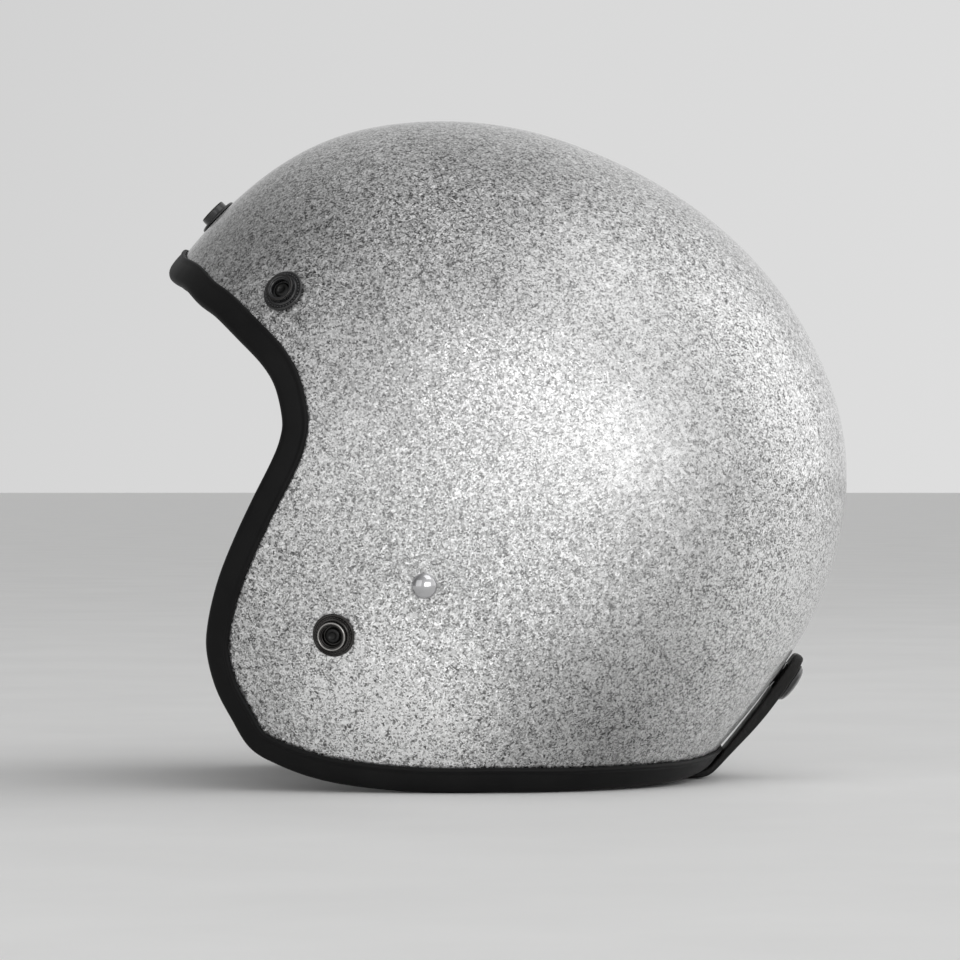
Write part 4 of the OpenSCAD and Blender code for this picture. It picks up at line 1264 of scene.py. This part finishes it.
# padded sleeve on the chin side
idx = [i for i in range(len(A1)) if -42 < A1[i, 0] < 26 and A1[i, 1] < -88]
S = []
m_ = len(idx)
for c_, i in enumerate(idx):
    f_ = c_ / (m_ - 1)
    e = math.sqrt(max(0.0, 1 - abs(2 * f_ - 1) ** 6))
    sec = []
    for x in np.arange(28) * 2 * np.pi / 28:
        cy, cz = math.cos(x), math.sin(x)
        yy = 14.6 * math.copysign(abs(cy) ** 0.55, cy) * (0.82 + 0.18 * e)
        hz = 2.55 * math.copysign(abs(cz) ** 0.8, cz) * (0.3 + 0.7 * e) + 0.22 * math.sin(c_ * 0.9) * (cz > 0)
        q = A1[i] + N1[i] * (0.9 + 0.25 + 2.6 + hz)
        sec.append([q[0], yy, q[1]])
    S.append(sec)
V, F = swept(hung(np.array(S)))
pad = make("chin_pad_sleeve", V, F, KNIT)
bm = bmesh.new(); bm.from_mesh(pad.data); bmesh.ops.recalc_face_normals(bm, faces=bm.faces); bm.to_mesh(pad.data); bm.free()
done(pad, "chin_strap", ["chin_pad"])
pile = Pile()
for ys in (-11.5, 11.5):
    for c_ in range(3, m_ - 4, 2):
        i, j = idx[c_], idx[c_ + 1]
        qa = A1[i] + N1[i] * 5.5
        qb = A1[j] + N1[j] * 5.5
        pile.stitch(hung(np.array([(qa[0] + qb[0]) / 2, ys, (qa[1] + qb[1]) / 2])), hung(np.array([qb[0], ys, qb[1]])) - hung(np.array([qa[0], ys, qa[1]])), hung_dir([N1[i][0], 0, N1[i][1]]), 2.5, 0.3)
done(pile.make("chin_pad_stitches", THREAD), "chin_strap")

# tail of the strap with its snap
TAIL = np.vstack([[rg(26.4, 5.4)], [[62, -89.6], [52, -93.2], [40, -96.4], [26, -98.6], [10, -99.5], [-4, -99.8], [-14, -99.7], [-22, -99.3], [-28, -98.8]]])
tail, A3, N3, T3 = web_strip(smooth(TAIL, 90), 1.8, "webbing_tail", end_round=True)
done(tail, "tail_flap", ["strap_tail"])
pile = Pile()
box_stitch(pile, A3, N3, T3, len(A3) - 5, len(A3) - 2, -1, cross=False)
done(pile.make("tail_stitches", THREAD), "tail_flap")
SNAP = np.array([-14.0, 0, -95.6 - 0.9])


def snap_place(V):
    return hung(np.stack([V[:, 0], -V[:, 1], -V[:, 2]], 1) + SNAP)


capp = [[0, 4.35], [5.6, 4.35], [6.2, 4.45], [6.3, 4.7], [6.2, 4.95], [5.9, 5.1]] + [[5.9 * math.cos(a_), 5.1 + 0.9 * math.sin(a_)] for a_ in np.linspace(0.15, math.pi / 2, 10)]
capp[-1][0] = 0
V, F = lathe(capp, 64, snap_place)
done(make("tail_cap_domed", V, F, ENAMEL), "tail_flap", ["tail_snap_cap"])

# ------------------------------------------------------------------ CAD nodes that stay, with their metals
nodes = frame["nodes"]
for nm, mt in {"rivet_spacers": STEEL, "keeper_stud_post": DARKSTEEL, "keeper_rivet": DARKSTEEL, "strap_hangers": STEEL,
               "strap_stud": STEEL, "tail_snap_socket": STEEL}.items():
    o_ = nodes[nm]
    if len(o_.material_slots) == 0:
        o_.data.materials.append(mt)
    for s_ in o_.material_slots:
        s_.material = mt
    if nm in ("strap_hangers", "rivet_spacers"):
        b_ = o_.modifiers.new("edge", "BEVEL")
        b_.width = 0.0002
        b_.segments = 2
        b_.limit_method = "ANGLE"

# ------------------------------------------------------------------ studio
def pale():
    m = Mat("pale_floor", (0.80, 0.80, 0.795), 0.75)
    m.set(Base_Color=m.ramp(m.noise(9, 5), [(0.3, (0.79, 0.79, 0.785)), (0.7, (0.83, 0.83, 0.825))]), Normal=m.bump(m.noise(380, 4), 0.05, 0.0005))
    # the floor is see-through from below, so that the underside can be looked at
    tr = m.n("BsdfTransparent")
    mx = m.n("MixShader")
    m.link(m.n("NewGeometry").outputs["Backfacing"], mx.inputs["Fac"])
    m.link(m.p.outputs["BSDF"], mx.inputs[1])
    m.link(tr.outputs["BSDF"], mx.inputs[2])
    m.link(mx.outputs["Shader"], m.out.inputs["Surface"])
    return m.m


me = bpy.data.meshes.new("floor")
bm = bmesh.new()
bmesh.ops.create_circle(bm, cap_ends=True, segments=96, radius=40)
bmesh.ops.translate(bm, verts=bm.verts, vec=(0, 0, -0.0001))
bm.to_mesh(me)
bm.free()
floor = bpy.data.objects.new("floor", me)
COL.objects.link(floor)
me.materials.append(pale())

world = bpy.data.worlds.new("studio")
bpy.context.scene.world = world
world.use_nodes = True
nt = world.node_tree
nt.nodes.clear()
wo = nt.nodes.new("ShaderNodeOutputWorld")
bg = nt.nodes.new("ShaderNodeBackground")
tcn = nt.nodes.new("ShaderNodeTexCoord")
dot = nt.nodes.new("ShaderNodeVectorMath")
dot.operation = "DOT_PRODUCT"
dot.inputs[1].default_value = (0.10, 0.80, -0.42)
mr = nt.nodes.new("ShaderNodeMapRange")
mr.inputs["From Min"].default_value = -1
mr.inputs["From Max"].default_value = 1
rp = nt.nodes.new("ShaderNodeValToRGB")
e = rp.color_ramp.elements
for _ in range(3):
    e.new(0.5)
for k_, (pos, c_) in enumerate([(0.0, 0.20), (0.18, 0.40), (0.42, 0.72), (0.62, 0.86), (0.9, 1.0)]):
    e[k_].position = pos
    e[k_].color = (c_, c_, c_, 1)
nt.links.new(tcn.outputs["Generated"], dot.inputs[0])
nt.links.new(dot.outputs["Value"], mr.inputs["Value"])
nt.links.new(mr.outputs["Result"], rp.inputs["Fac"])
nt.links.new(rp.outputs["Color"], bg.inputs["Color"])
nt.links.new(bg.outputs["Background"], wo.inputs["Surface"])
bg.inputs["Strength"].default_value = 0.95


def area(name, loc, target, size, energy):
    li = bpy.data.lights.new(name, "AREA")
    li.shape = "SQUARE"
    li.size = size
    li.energy = energy
    o_ = bpy.data.objects.new(name, li)
    COL.objects.link(o_)
    o_.location = loc
    o_.rotation_euler = (Vector(target) - Vector(loc)).to_track_quat("-Z", "Y").to_euler()
    o_.visible_camera = False
    return o_


area("key_soft", (2.3, 0.8, 0.25), (0, 0, 0.10), 1.6, 8)
area("low_soft", (2.4, 0.45, 0.12), (0, 0, 0.05), 1.1, 7)
area("fill_soft", (1.9, -1.5, 0.7), (0, 0, 0.06), 1.8, 5)
area("rear_soft", (-0.6, 2.2, 1.1), (0, 0, 0.12), 2.0, 8)
area("top_soft", (0.9, 0.7, 2.1), (0, 0, 0.12), 1.6, 6.5)

cam_d = bpy.data.cameras.new("camera")
cam = bpy.data.objects.new("camera", cam_d)
COL.objects.link(cam)
cam_d.sensor_width = 36
cam_d.lens = 36 * 1800 / 369.6
cam_d.clip_start = 0.01
cam_d.clip_end = 200
cam.matrix_world = Matrix(((0, 0, 1, 1.8), (1, 0, 0, -0.01095), (0, 1, 0, 0.1143), (0, 0, 0, 1)))
bpy.context.scene.camera = cam
bpy.context.scene.view_settings.view_transform = "Standard"
